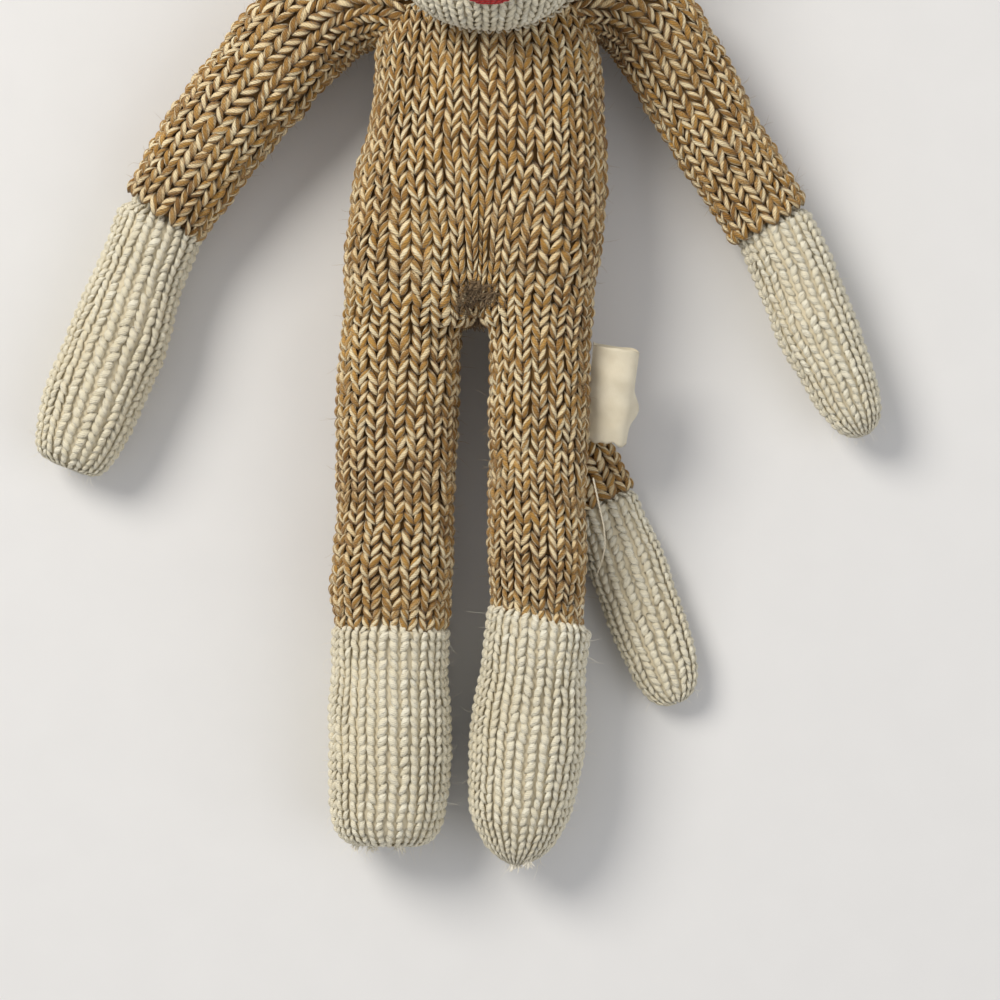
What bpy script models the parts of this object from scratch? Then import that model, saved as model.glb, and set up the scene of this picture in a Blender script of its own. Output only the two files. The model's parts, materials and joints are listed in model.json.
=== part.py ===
# A small knitted sock monkey lying on its back, as Blender would be used to model it.
# Metres, +Z up out of the belly, +Y towards the head, +X to the viewer's right.
# The origin is the middle of the flat where the back rests.
import math

import bmesh
import bpy
from mathutils import Matrix, Vector

# Wall, gap and rest
KNIT = 0.0012
GAP = 0.00035
REST_FLAT = 0.0005
CUT_OVERRUN = 0.004
CUT_REACH = 0.048
CUTTER_TWIST = math.radians(4)
HULL_MERGE = 0.00002
FACET_SPARE = 0.00025
CUP_GAP = 0.0005

# Body
TORSO_LENGTH = 0.071
TORSO_WIDTH = 0.052
TORSO_DEPTH = 0.0365
TORSO_FOOT_Y = -0.031
NECK_HOLE_RADIUS = 0.0042

# Neck and head
NECK_RADIUS = 0.0070
NECK_HEIGHT = 0.0140
NECK_INSET = 0.0045
NECK_THREAD_RADIUS = 0.0006
HEAD_TILT = math.radians(25)
HEAD_LENGTH = 0.050
HEAD_WIDTH = 0.0448
HEAD_DEPTH = 0.0440
HEAD_SET_BACK = 0.0010

# Face and ears
MUZZLE_WIDTH = 0.0372
MUZZLE_HEIGHT = 0.0280
MUZZLE_DEPTH = 0.0220
MUZZLE_UP = 0.0150
MUZZLE_OUT = 0.0220
LIPS_WIDTH = 0.0108
LIPS_HEIGHT = 0.0058
LIPS_THICKNESS = 0.0030
LIPS_DROP = 0.0010
NOSTRIL_LENGTH = 0.0022
NOSTRIL_RADIUS = 0.0004
NOSTRIL_SPACING = 0.0044
NOSTRIL_UP = 0.0060
EYE_DIAMETER = 0.0056
EYE_THICKNESS = 0.0020
EYE_SPACING = 0.0130
EYE_UP = 0.0345
EAR_HEIGHT = 0.0130
EAR_REACH = 0.0112
EAR_THICKNESS = 0.0038
EAR_UP = 0.0300

# Arms, by side
SHOULDER_RADIUS = 0.0095
SHOULDER_SEAT = 0.0010
SHOULDER_HEIGHT = 0.0140
SHOULDER_BELOW_TOP = 0.0065
WRIST_RADIUS = 0.0080
WRIST_HEIGHT = 0.0092
LEFT_ARM_ANGLE = math.radians(37.1)
LEFT_SLEEVE_LENGTH = 0.0588
LEFT_SLEEVE_WIDTH = 0.0210
LEFT_MITT_ANGLE = math.radians(21.7)
LEFT_MITT_LENGTH = 0.0501
LEFT_MITT_WIDTH = 0.0196
RIGHT_ARM_ANGLE = math.radians(31.3)
RIGHT_SLEEVE_LENGTH = 0.0554
RIGHT_SLEEVE_WIDTH = 0.0200
RIGHT_MITT_ANGLE = math.radians(23.9)
RIGHT_MITT_LENGTH = 0.0431
RIGHT_MITT_WIDTH = 0.0168
MITT_DEPTH = 0.0172

# Legs, by side
LEFT_HIP_X = -0.0180
LEFT_HIP_Y = -0.0370
LEFT_HIP_HEIGHT = 0.0160
LEFT_LEG_ANGLE = math.radians(1.9)
LEFT_LEG_LENGTH = 0.0602
LEFT_LEG_WIDTH = 0.0250
LEFT_ANKLE_HEIGHT = 0.0130
LEFT_ANKLE_RADIUS = 0.0106
LEFT_FOOT_ANGLE = math.radians(1.0)
LEFT_FOOT_LENGTH = 0.0384
LEFT_FOOT_WIDTH = 0.0262
RIGHT_HIP_X = 0.0098
RIGHT_HIP_Y = -0.0360
RIGHT_HIP_HEIGHT = 0.0210
RIGHT_LEG_ANGLE = math.radians(0.4)
RIGHT_LEG_LENGTH = 0.0588
RIGHT_LEG_WIDTH = 0.0208
RIGHT_ANKLE_HEIGHT = 0.0145
RIGHT_ANKLE_RADIUS = 0.0088
RIGHT_FOOT_ANGLE = math.radians(5.6)
RIGHT_FOOT_LENGTH = 0.0454
RIGHT_FOOT_WIDTH = 0.0246
HIP_FOLD = math.radians(80)
ARM_LIFT = math.radians(75)

# Tail
TAIL_ROOT_X = 0.0060
TAIL_ROOT_Y = -0.0335
TAIL_ROOT_RADIUS = 0.0042
TAIL_ANGLE = math.radians(26.9)
TAIL_LENGTH = 0.0390
TAIL_WIDTH = 0.0132
TAIL_DEPTH = 0.0092
TAIL_JOINT_RADIUS = 0.0052
TAIL_TIP_ANGLE = math.radians(19.2)
TAIL_TIP_LENGTH = 0.0416

# Side label
LABEL_REACH = 0.0098
LABEL_HEIGHT = 0.0190
LABEL_THICKNESS = 0.0009
LABEL_TURN = math.radians(12)
LABEL_BELOW_HIP = 0.0080

# Counts of sides and rings
TORSO_SIDES = 20
HEAD_SIDES = 20
LEG_SIDES = 14
ARM_SIDES = 12
TAIL_SIDES = 10
CUTTER_SIDES = 16
MUZZLE_BANDS = 12
SMALL_BANDS = 8
NOSTRIL_SIDES = 8
FORM_SQUARENESS = 2.25

# Rings from the foot of the torso to its top:
# height, sideways shift, width and depth as shares of the torso's length, width, width and depth
TORSO_SHARES = (
    (0.000, -0.045, 0.20, 0.24, 0.47),
    (0.018, -0.060, 0.70, 0.58, 0.48),
    (0.055, -0.072, 0.94, 0.82, 0.485),
    (0.120, -0.072, 1.00, 0.94, 0.495),
    (0.260, -0.054, 0.998, 1.00, 0.5),
    (0.430, -0.034, 0.965, 1.00, 0.5),
    (0.620, -0.006, 0.905, 0.97, 0.485),
    (0.780, -0.004, 0.880, 0.87, 0.44),
    (0.880, -0.010, 0.845, 0.74, 0.4),
    (0.940, -0.014, 0.800, 0.65, 0.385),
    (0.985, -0.014, 0.700, 0.54, 0.38),
    (1.000, -0.014, 0.520, 0.40, 0.38),
)
# Rings of the head from its neck rim to the crown: shares of the head's length, width and depth
HEAD_SHARES = (
    (0.096, 0.254, 0.254),
    (0.115, 0.40, 0.40),
    (0.155, 0.59, 0.58),
    (0.220, 0.76, 0.75),
    (0.330, 0.92, 0.92),
    (0.480, 1.00, 1.00),
    (0.640, 0.965, 0.965),
    (0.760, 0.86, 0.86),
    (0.840, 0.74, 0.74),
)
CROWN_SHARES = ((0.848, 0.727, 0.727), (0.91, 0.57, 0.57), (0.965, 0.35, 0.35), (1.0, 0.0, 0.0))
# Rings between a limb's two ends: shares of its length, and of its width for the shift, width and depth
SLEEVE_SHARES = ((0.16, 0.00, 0.985, 0.92), (0.42, 0.00, 0.98, 0.91), (0.74, 0.00, 0.90, 0.88))
LEFT_MITT_SHARES = ((0.16, 0.00, 0.90, 0.98), (0.42, -0.03, 1.00, 1.00), (0.70, -0.02, 0.98, 1.00))
RIGHT_MITT_SHARES = ((0.18, 0.00, 0.98, 0.96), (0.45, 0.02, 1.00, 0.98), (0.64, 0.02, 0.90, 0.90))
LEFT_LEG_SHARES = ((0.12, 0.00, 1.00, 0.96), (0.50, 0.00, 0.97, 0.95), (0.82, 0.00, 1.02, 0.98))
RIGHT_LEG_SHARES = ((0.12, 0.00, 1.00, 1.00), (0.50, 0.00, 0.99, 1.00), (0.82, 0.00, 0.99, 1.00))
LEFT_FOOT_SHARES = ((0.20, 0.00, 0.98, 0.97), (0.50, -0.01, 1.00, 0.99), (0.78, 0.00, 0.93, 0.94))
RIGHT_FOOT_SHARES = ((0.18, 0.00, 0.94, 0.92), (0.40, 0.00, 1.00, 0.98), (0.62, 0.00, 0.95, 0.92))
TAIL_SHARES = ((0.20, 0.00, 0.80, 0.97), (0.52, 0.00, 0.94, 1.00), (0.76, 0.00, 0.99, 1.00))
TAIL_TIP_SHARES = ((0.20, 0.00, 1.00, 1.00), (0.46, 0.00, 1.02, 1.00), (0.72, 0.00, 0.92, 0.96))
# How a closed end narrows: 1 is round, less is blunter
MITT_TAPER = 0.72
LEFT_FOOT_TAPER = 0.5
RIGHT_FOOT_TAPER = 1.0
TAIL_TAPER = 0.7
# The height of a toe's middle as a share of the foot's width
FOOT_REST_SHARE = 0.46
# Half the room cut for the head in the torso's top, as a share of the head's width
HEAD_ROOM_SHARE = 0.45
# How far an ear's hinge stands off the head, as a share of the ear's thickness
EAR_HINGE_SHARE = 0.2
# Rings of a nostril stitch as shares of its length
NOSTRIL_SHARES = (0.15, 0.85)
# Rings of an eye button: shares of its thickness and of its radius
EYE_SHARES = ((0, 0.82), (0.22, 1.0), (0.5, 0.94), (0.8, 0.62))
# The label's curl: shares of its reach, outwards and up
LABEL_CURL = ((0, 0), (0.25, 0.1), (0.5, 0.14), (0.75, 0.1), (1, -0.06))
# Where a cupped end stops short of the next joint, as an angle from the limb's own line
CUP_LIP = math.radians(64)
CUP_FLOOR = math.radians(55)
ROOT_ANGLES = tuple(math.radians(a) for a in (22, 45, 68, 90))
TIP_ANGLES = tuple(math.radians(a) for a in (28, 52, 72, 90))

HEAD_PIECES = (
    "head_knit", "crown_knit", "head_stuffing", "muzzle_knit", "muzzle_stuffing",
    "lips", "nostril_left", "nostril_right", "eye_left", "eye_right",
)
MATERIALS = {
    "marl": ((0.42, 0.30, 0.17, 1), 0.95),
    "cream": ((0.80, 0.75, 0.62, 1), 0.95),
    "stuffing": ((0.90, 0.90, 0.88, 1), 1.0),
    "red": ((0.55, 0.03, 0.03, 1), 0.8),
    "black": ((0.02, 0.02, 0.02, 1), 0.25),
    "thread": ((0.75, 0.68, 0.55, 1), 0.9),
    "satin": ((0.88, 0.87, 0.84, 1), 0.45),
}


def clear_scene():
    for old in list(bpy.data.objects):
        bpy.data.objects.remove(old, do_unlink=True)


def material(name):
    found = bpy.data.materials.get(name)
    if found:
        return found
    colour, roughness = MATERIALS[name]
    made = bpy.data.materials.new(name)
    made.use_nodes = True
    shader = made.node_tree.nodes["Principled BSDF"]
    shader.inputs["Base Color"].default_value = colour
    shader.inputs["Roughness"].default_value = roughness
    shader.inputs["Metallic"].default_value = 0.0
    made.diffuse_color = colour
    return made


def surface(name, rings, look, closed=False):
    """Joins rings of equal count, or single points at poles, into one closed mesh."""
    points = []
    index = []
    for ring in rings:
        ring = [ring] if isinstance(ring, Vector) else ring
        index.append(range(len(points), len(points) + len(ring)))
        points += ring
    pairs = list(zip(index, index[1:]))
    if closed:
        pairs.append((index[-1], index[0]))
    faces = []
    for low, high in pairs:
        count = max(len(low), len(high))
        if count == 1:
            continue
        for i in range(count):
            j = (i + 1) % count
            around = [low[i % len(low)], low[j % len(low)], high[j % len(high)], high[i % len(high)]]
            faces.append(list(dict.fromkeys(around)))
    mesh = bpy.data.meshes.new(name)
    mesh.from_pydata([tuple(p) for p in points], [], faces)
    mesh.validate()
    made = bpy.data.objects.new(name, mesh)
    bpy.context.scene.collection.objects.link(made)
    turn_outwards(mesh)
    mesh.shade_smooth()
    if look:
        mesh.materials.append(material(look))
    else:
        made.hide_render = True
        made.display_type = "WIRE"
    return made


def hull(name, points):
    """A hidden cutter: the smallest bulging shape round a set of points."""
    work = bmesh.new()
    for point in points:
        work.verts.new(point)
    bmesh.ops.remove_doubles(work, verts=work.verts, dist=HULL_MERGE)
    made = bmesh.ops.convex_hull(work, input=work.verts)
    unused = [part for part in made["geom_interior"] if isinstance(part, bmesh.types.BMVert)]
    bmesh.ops.delete(work, geom=unused, context="VERTS")
    mesh = bpy.data.meshes.new(name)
    work.to_mesh(mesh)
    work.free()
    turn_outwards(mesh)
    cutter = bpy.data.objects.new(name, mesh)
    bpy.context.scene.collection.objects.link(cutter)
    cutter.hide_render = True
    cutter.display_type = "WIRE"
    return cutter


def turn_outwards(mesh):
    work = bmesh.new()
    work.from_mesh(mesh)
    bmesh.ops.recalc_face_normals(work, faces=work.faces)
    if work.calc_volume(signed=True) < 0:
        bmesh.ops.reverse_faces(work, faces=work.faces)
    work.to_mesh(mesh)
    work.free()


def cut(target, *cutters):
    for cutter in cutters:
        boolean = target.modifiers.new(cutter.name, "BOOLEAN")
        boolean.object = cutter
        boolean.operation = "DIFFERENCE"


def oval(centre, across, up, half_width, half_depth, sides, squareness=2.0):
    """One ring of points, a little squarer than an ellipse where squareness is over 2."""
    power = 2 / squareness
    ring = []
    for i in range(sides):
        turn = math.tau * i / sides
        x = math.copysign(abs(math.cos(turn)) ** power, math.cos(turn))
        z = math.copysign(abs(math.sin(turn)) ** power, math.sin(turn))
        ring.append(centre + across * (half_width * x) + up * (half_depth * z))
    return ring


def settled(rings, floor=0.0):
    """Flattens what would reach below the surface that the doll lies on."""
    flat = []
    for ring in rings:
        points = [ring] if isinstance(ring, Vector) else ring
        for p in points:
            p.z = max(p.z, floor)
        flat.append(ring)
    return flat


class Line:
    """A straight run with its own sideways and upward directions."""

    def __init__(self, start, ahead):
        self.start = start
        self.ahead = ahead.normalized()
        self.across = self.ahead.cross(Vector((0, 0, 1))).normalized()
        self.up = self.across.cross(self.ahead).normalized()

    def twist(self, angle):
        turn = Matrix.Rotation(angle, 3, self.ahead)
        self.across = turn @ self.across
        self.up = turn @ self.up

    def at(self, run, side=0.0, rise=0.0):
        return self.start + self.ahead * run + self.across * side + self.up * rise


def lying(start, angle, length, end_height):
    """A line from a joint, at an angle from straight down the doll, that ends at a given height."""
    drop = start.z - end_height
    flat = math.sqrt(length**2 - drop**2)
    ahead = Vector((flat * math.sin(angle), -flat * math.cos(angle), -drop))
    return Line(start, ahead)


class Limb:
    """A stuffed run: a domed root, swelling rings, and a tip or a cup that holds the next dome."""

    def __init__(self, line, length, width, depth, root, shares, sides, tip=None, cup=None):
        self.line = line
        self.length = length
        self.width = width
        self.depth = depth
        self.root = root
        self.shares = shares
        self.sides = sides
        self.tip = tip
        self.cup = cup

    def ring(self, run, half_width, half_depth, side=0.0):
        centre = self.line.at(run, side)
        return oval(centre, self.line.across, self.line.up, half_width, half_depth, self.sides)

    def root_rings(self, inset):
        wide, deep = self.root
        rings = []
        for angle in ROOT_ANGLES:
            run = -(wide - inset) * math.cos(angle)
            share = math.sin(angle)
            rings.append(self.ring(run, (wide - inset) * share, (deep - inset) * share))
        return rings

    def middle_rings(self, inset):
        rings = []
        for along, side, wide, deep in self.shares:
            half_width = wide * self.width / 2 - inset
            half_depth = deep * self.depth / 2 - inset
            rings.append(self.ring(along * self.length, half_width, half_depth, side * self.width))
        return rings

    def tip_rings(self, inset):
        along, side, wide, deep = self.shares[-1]
        start = along * self.length
        reach = self.length - start - inset
        rings = []
        for angle in TIP_ANGLES:
            share = math.cos(angle) ** self.tip
            run = start + reach * math.sin(angle)
            if angle == TIP_ANGLES[-1]:
                rings.append(self.line.at(run, side * self.width))
                continue
            half_width = (wide * self.width / 2 - inset) * share
            half_depth = (deep * self.depth / 2 - inset) * share
            rings.append(self.ring(run, half_width, half_depth, side * self.width))
        return rings

    def lip_ring(self, inset):
        wide, deep = self.cup
        run = self.length - wide * math.cos(CUP_LIP)
        share = math.sin(CUP_LIP)
        spare = CUP_GAP + KNIT - inset
        return self.ring(run, wide * share + spare, deep * share + spare)

    def cup_rings(self):
        wide, deep = self.cup
        rings = []
        for angle in (CUP_FLOOR, CUP_FLOOR * 2 / 3, CUP_FLOOR / 3):
            run = self.length - (wide + CUP_GAP) * math.cos(angle)
            share = math.sin(angle)
            rings.append(self.ring(run, (wide + CUP_GAP) * share, (deep + CUP_GAP) * share))
        rings.append(self.line.at(self.length - wide - CUP_GAP))
        return rings

    def knit(self, name, look):
        """The knitted tube, open at its root, where its stuffing shows."""
        outer = self.root_rings(0) + self.middle_rings(0)
        inner = self.root_rings(KNIT) + self.middle_rings(KNIT)
        if self.tip:
            outer += self.tip_rings(0)
            inner += self.tip_rings(KNIT)
        else:
            outer.append(self.lip_ring(0))
            inner.append(self.lip_ring(KNIT))
        rings = settled(outer) + settled(inner, KNIT / 2)[::-1]
        return surface(name, rings, look, closed=True)

    def stuffing(self, name):
        inset = KNIT + GAP
        root = self.root_rings(inset)
        wide = self.root[0]
        rings = [self.line.at(inset - wide)] + root + self.middle_rings(inset)
        if self.tip:
            rings += self.tip_rings(inset)
        else:
            last = self.cup_rings()
            wide, deep = self.cup
            run = self.length - (wide + CUP_GAP) * math.cos(CUP_FLOOR)
            rim_width = wide * math.sin(CUP_LIP) + CUP_GAP - GAP
            rim_depth = deep * math.sin(CUP_LIP) + CUP_GAP - GAP
            rings += [self.ring(run, rim_width, rim_depth)] + last
        return surface(name, settled(rings, KNIT), "stuffing")

    def swept(self, name, ways, spare):
        """A cutter that takes in the limb at each end of its travel, and all that lies between."""
        wide = self.root[0] + spare + FACET_SPARE
        full = max(wide, self.width / 2 + spare + FACET_SPARE)
        points = []
        for ahead in ways:
            line = Line(self.line.start, ahead)
            line.twist(CUTTER_TWIST)
            points.append(line.at(-wide))
            for angle in ROOT_ANGLES:
                share = wide * math.sin(angle)
                centre = line.at(-wide * math.cos(angle))
                points += oval(centre, line.across, line.up, share, share, CUTTER_SIDES)
            for run in (full, CUT_REACH):
                points += oval(line.at(run), line.across, line.up, full, full, CUTTER_SIDES)
        return hull(name, points)

    def end(self):
        return self.line.at(self.length)


def torso_side(height, side):
    """The torso's own x at one side, at a height given as a share of its length."""
    for low, high in zip(TORSO_SHARES, TORSO_SHARES[1:]):
        if low[0] <= height <= high[0]:
            part = (height - low[0]) / (high[0] - low[0])
            shift, wide = (a + (b - a) * part for a, b in zip(low[1:3], high[1:3]))
            return (shift + side * wide / 2) * TORSO_WIDTH
    raise ValueError("height is off the torso")


def torso_rings(inset):
    rings = []
    for up, shift, wide, deep, middle in TORSO_SHARES:
        y = TORSO_FOOT_Y + inset + up * (TORSO_LENGTH - inset * 2)
        centre = Vector((shift * TORSO_WIDTH, y, middle * TORSO_DEPTH - REST_FLAT))
        rings.append(
            oval(
                centre,
                Vector((1, 0, 0)),
                Vector((0, 0, 1)),
                wide * TORSO_WIDTH / 2 - inset,
                deep * TORSO_DEPTH / 2 - inset,
                TORSO_SIDES,
                FORM_SQUARENESS,
            )
        )
    first = sum(rings[0], Vector()) / TORSO_SIDES
    last = sum(rings[-1], Vector()) / TORSO_SIDES
    return [first] + rings + [last]


def ball(name, centre, radius, look=None, sides=CUTTER_SIDES):
    line = Line(centre, Vector((0, 1, 0)))
    rings = [line.at(-radius)]
    bands = sides // 2
    for i in range(1, bands):
        angle = math.pi * i / bands
        share = radius * math.sin(angle)
        rings.append(oval(line.at(-radius * math.cos(angle)), line.across, line.up, share, share, sides))
    rings.append(line.at(radius))
    return surface(name, rings, look)


def ring_of_thread(name, centre, axis, radius, thickness):
    """A closed turn of thread, as a curve with a round bevel."""
    curve = bpy.data.curves.new(name, "CURVE")
    curve.dimensions = "3D"
    curve.resolution_u = 1
    curve.bevel_depth = thickness
    curve.bevel_resolution = 1
    line = Line(centre, axis)
    points = oval(centre, line.across, line.up, radius, radius, HEAD_SIDES)
    spline = curve.splines.new("POLY")
    spline.points.add(len(points) - 1)
    for point, place in zip(spline.points, points):
        point.co = (*place, 1)
    spline.use_cyclic_u = True
    made = bpy.data.objects.new(name, curve)
    bpy.context.scene.collection.objects.link(made)
    curve.materials.append(material("thread"))
    return made


def move_origin(thing, place):
    """Puts an object's origin on its joint without moving its mesh."""
    thing.data.transform(Matrix.Translation(-place))
    thing.location = place


def floor_block(name, height):
    """All that lies below a level, under the torso."""
    half = TORSO_LENGTH
    rings = []
    for level in (height - TORSO_DEPTH, height):
        corners = ((-half, -half), (half, -half), (half, half), (-half, half))
        rings.append([Vector((x, y, level)) for x, y in corners])
    low = sum(rings[0], Vector()) / 4
    top = sum(rings[1], Vector()) / 4
    return surface(name, [low, *rings, top], None)


def make_torso(limbs, neck, head_room):
    knit = surface("torso_knit", torso_rings(0), "marl")
    hollow = surface("torso_hollow", torso_rings(KNIT), None)
    stuffing = surface("torso_stuffing", torso_rings(KNIT + GAP), "stuffing")
    cut(knit, floor_block("torso_rest", 0))
    cut(hollow, floor_block("hollow_rest", KNIT))
    cut(stuffing, floor_block("stuffing_rest", KNIT + GAP))
    levels = ((knit, GAP), (hollow, GAP + KNIT), (stuffing, GAP * 3 + KNIT + FACET_SPARE))
    for target, spare in levels:
        for limb, ways in limbs:
            cut(target, limb.swept(f"{target.name}_cut", ways, spare))
        cut(target, ball(f"{target.name}_head_room", head_room[0], head_room[1] + spare))
        cut(target, ball(f"{target.name}_neck_room", neck, NECK_RADIUS + spare))
    cut(knit, hollow)
    line = Line(neck, Vector((0, -1, 0)))
    reach = NECK_RADIUS + KNIT + CUT_OVERRUN
    ends = [oval(line.at(run), line.across, line.up, NECK_HOLE_RADIUS, NECK_HOLE_RADIUS, LEG_SIDES)
            for run in (0, reach)]
    cut(knit, surface("torso_neck_hole", [line.at(0), *ends, line.at(reach)], None))


def head_line(neck):
    line = Line(neck, Vector((0, math.cos(HEAD_TILT), math.sin(HEAD_TILT))))
    line.across = Vector((1, 0, 0))
    line.up = line.across.cross(line.ahead)
    return line


def head_rings(line, shares, inset):
    rings = []
    for up, wide, deep in shares:
        run = up * HEAD_LENGTH
        if wide == 0:
            rings.append(line.at(run - inset, 0, -HEAD_SET_BACK))
            continue
        half_width = wide * HEAD_WIDTH / 2 - inset
        half_depth = deep * HEAD_DEPTH / 2 - inset
        centre = line.at(run, 0, -HEAD_SET_BACK)
        rings.append(oval(centre, line.across, line.up, half_width, half_depth, HEAD_SIDES))
    return rings


def head_form(name, line, spare):
    """The head and crown as one solid, grown by a gap, to cut what sits on them."""
    rings = head_rings(line, HEAD_SHARES + CROWN_SHARES[1:], -spare)
    middle = sum(rings[0], Vector()) / HEAD_SIDES
    return surface(name, [middle] + rings, None)


def make_head(line, neck):
    outer = head_rings(line, HEAD_SHARES, 0)
    inner = head_rings(line, HEAD_SHARES, KNIT)
    knit = surface("head_knit", settled(outer) + settled(inner, KNIT / 2)[::-1], "marl", closed=True)
    outer = head_rings(line, CROWN_SHARES, 0)
    inner = head_rings(line, CROWN_SHARES, KNIT)
    surface("crown_knit", outer + inner[::-1], "cream", closed=True)
    rings = head_rings(line, HEAD_SHARES[:-1] + CROWN_SHARES, KNIT + GAP)
    middle = sum(rings[0], Vector()) / HEAD_SIDES
    stuffing = surface("head_stuffing", settled([middle] + rings, KNIT), "stuffing")
    room = ball("head_neck_room", neck, NECK_RADIUS + GAP)
    cut(knit, room)
    cut(stuffing, room)


def head_surface(line, run, side):
    """How far the head's front stands off its own line at a height and a side."""
    up = run / HEAD_LENGTH
    shares = HEAD_SHARES + CROWN_SHARES
    for low, high in zip(shares, shares[1:]):
        if low[0] <= up <= high[0]:
            part = (up - low[0]) / (high[0] - low[0])
            wide = (low[1] + (high[1] - low[1]) * part) * HEAD_WIDTH / 2
            deep = (low[2] + (high[2] - low[2]) * part) * HEAD_DEPTH / 2
            return deep * math.sqrt(max(0.0, 1 - (side / wide) ** 2)) - HEAD_SET_BACK
    raise ValueError("height is off the head")


def egg(name, centre, axes, halves, sides, bands, look=None):
    """An ellipsoid whose poles lie along its third axis."""
    across, up, out = axes
    wide, tall, deep = halves
    rings = [centre - out * deep]
    for i in range(1, bands):
        angle = math.pi * i / bands
        share = math.sin(angle)
        middle = centre - out * (deep * math.cos(angle))
        rings.append(oval(middle, across, up, wide * share, tall * share, sides))
    rings.append(centre + out * deep)
    return surface(name, rings, look)


def make_muzzle(line):
    centre = line.at(MUZZLE_UP, 0, MUZZLE_OUT)
    axes = (line.across, line.ahead, line.up)
    halves = (MUZZLE_WIDTH / 2, MUZZLE_HEIGHT / 2, MUZZLE_DEPTH / 2)

    def grown(name, spare, look=None):
        return egg(name, centre, axes, [h + spare for h in halves], HEAD_SIDES, MUZZLE_BANDS, look)

    knit = grown("muzzle_knit", 0, "cream")
    stuffing = grown("muzzle_stuffing", -KNIT - GAP, "stuffing")
    room = head_form("muzzle_seat", line, GAP)
    cut(knit, grown("muzzle_hollow", -KNIT), room)
    cut(stuffing, room)

    front = line.at(MUZZLE_UP - LIPS_DROP, 0, MUZZLE_OUT + MUZZLE_DEPTH / 2)
    lips_halves = (LIPS_WIDTH / 2, LIPS_HEIGHT / 2, LIPS_THICKNESS / 2)
    lips = egg("lips", front, axes, lips_halves, LEG_SIDES, SMALL_BANDS, "red")
    cut(lips, grown("lips_seat", GAP))
    make_nostrils(line, centre, halves)
    return centre


def make_nostrils(line, centre, halves):
    wide, tall, deep = halves
    side = NOSTRIL_SPACING / 2
    rest = 1 - (side / wide) ** 2 - (NOSTRIL_UP / tall) ** 2
    out = deep * math.sqrt(rest) + GAP + NOSTRIL_RADIUS
    slope = math.atan2(NOSTRIL_UP * deep**2, out * tall**2)
    ahead = line.ahead * math.cos(slope) - line.up * math.sin(slope)
    for name, sign in (("left", -1), ("right", 1)):
        middle = centre + line.across * (sign * side) + line.ahead * NOSTRIL_UP + line.up * out
        stitch = Line(middle - ahead * (NOSTRIL_LENGTH / 2), ahead)
        rings = [stitch.at(0)]
        for share in NOSTRIL_SHARES:
            spot = stitch.at(share * NOSTRIL_LENGTH)
            rings.append(oval(spot, stitch.across, stitch.up, NOSTRIL_RADIUS, NOSTRIL_RADIUS, NOSTRIL_SIDES))
        rings.append(stitch.at(NOSTRIL_LENGTH))
        surface(f"nostril_{name}", rings, "black")


def make_eyes(line):
    radius = EYE_DIAMETER / 2
    for side, sign in (("left", -1), ("right", 1)):
        x = sign * EYE_SPACING / 2
        out = head_surface(line, EYE_UP, x)
        step = radius / 4
        dx = (head_surface(line, EYE_UP, x + step) - head_surface(line, EYE_UP, x - step)) / (step * 2)
        dy = (head_surface(line, EYE_UP + step, x) - head_surface(line, EYE_UP - step, x)) / (step * 2)
        normal = (line.up - line.across * dx - line.ahead * dy).normalized()
        seat = line.at(EYE_UP, x, out) + normal * GAP
        button = Line(seat, normal)
        rings = [button.at(0)]
        for run_share, wide_share in EYE_SHARES:
            middle = button.at(run_share * EYE_THICKNESS)
            share = radius * wide_share
            rings.append(oval(middle, button.across, button.up, share, share, LEG_SIDES))
        rings.append(button.at(EYE_THICKNESS))
        surface(f"eye_{side}", rings, "black")


def hang_head(neck):
    """An empty on the neck's two axes carries all that nods and turns with the head."""
    pivot = bpy.data.objects.new("head_pivot", None)
    pivot.location = neck
    bpy.context.scene.collection.objects.link(pivot)
    for name in HEAD_PIECES:
        piece = bpy.data.objects[name]
        piece.parent = pivot
        piece.matrix_parent_inverse = Matrix.Translation(-neck)


def make_ears(line):
    halves = (EAR_REACH / 2, EAR_HEIGHT / 2, EAR_THICKNESS / 2)
    room = HEAD_WIDTH / 2 + GAP
    for side, sign in (("left", -1), ("right", 1)):
        centre = line.at(EAR_UP, sign * (room + EAR_REACH / 2), -HEAD_SET_BACK)
        axes = (line.across, line.ahead, line.up)
        ear = egg(f"ear_{side}", centre, axes, halves, ARM_SIDES, SMALL_BANDS, "marl")
        move_origin(ear, line.at(EAR_UP, sign * (room + EAR_THICKNESS * EAR_HINGE_SHARE), -HEAD_SET_BACK))


def make_limb(limb, name, look, filling):
    joint = limb.line.start
    move_origin(limb.knit(name, look), joint)
    move_origin(limb.stuffing(filling), joint)


def make_arm(side, sign, sizes):
    angle, length, width, mitt_angle, mitt_length, mitt_width, mitt_shares = sizes
    height = 1 - SHOULDER_BELOW_TOP / TORSO_LENGTH
    x = torso_side(height, sign) + sign * (SHOULDER_RADIUS - SHOULDER_SEAT + GAP)
    y = TORSO_FOOT_Y + height * TORSO_LENGTH
    line = lying(Vector((x, y, SHOULDER_HEIGHT)), sign * angle, length, WRIST_HEIGHT)
    wrist = (WRIST_RADIUS, WRIST_RADIUS)
    root = (SHOULDER_RADIUS, SHOULDER_RADIUS)
    arm = Limb(line, length, width, width, root, SLEEVE_SHARES, ARM_SIDES, cup=wrist)
    make_limb(arm, f"sleeve_{side}", "marl", f"sleeve_stuffing_{side}")
    hand = lying(arm.end(), sign * mitt_angle, mitt_length, MITT_DEPTH / 2)
    mitt = Limb(hand, mitt_length, mitt_width, MITT_DEPTH, wrist, mitt_shares, ARM_SIDES, tip=MITT_TAPER)
    make_limb(mitt, f"mitt_{side}", "cream", f"mitt_stuffing_{side}")
    lifted = Matrix.Rotation(-sign * ARM_LIFT, 3, "Y") @ line.ahead
    return arm, (line.ahead, lifted)


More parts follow.
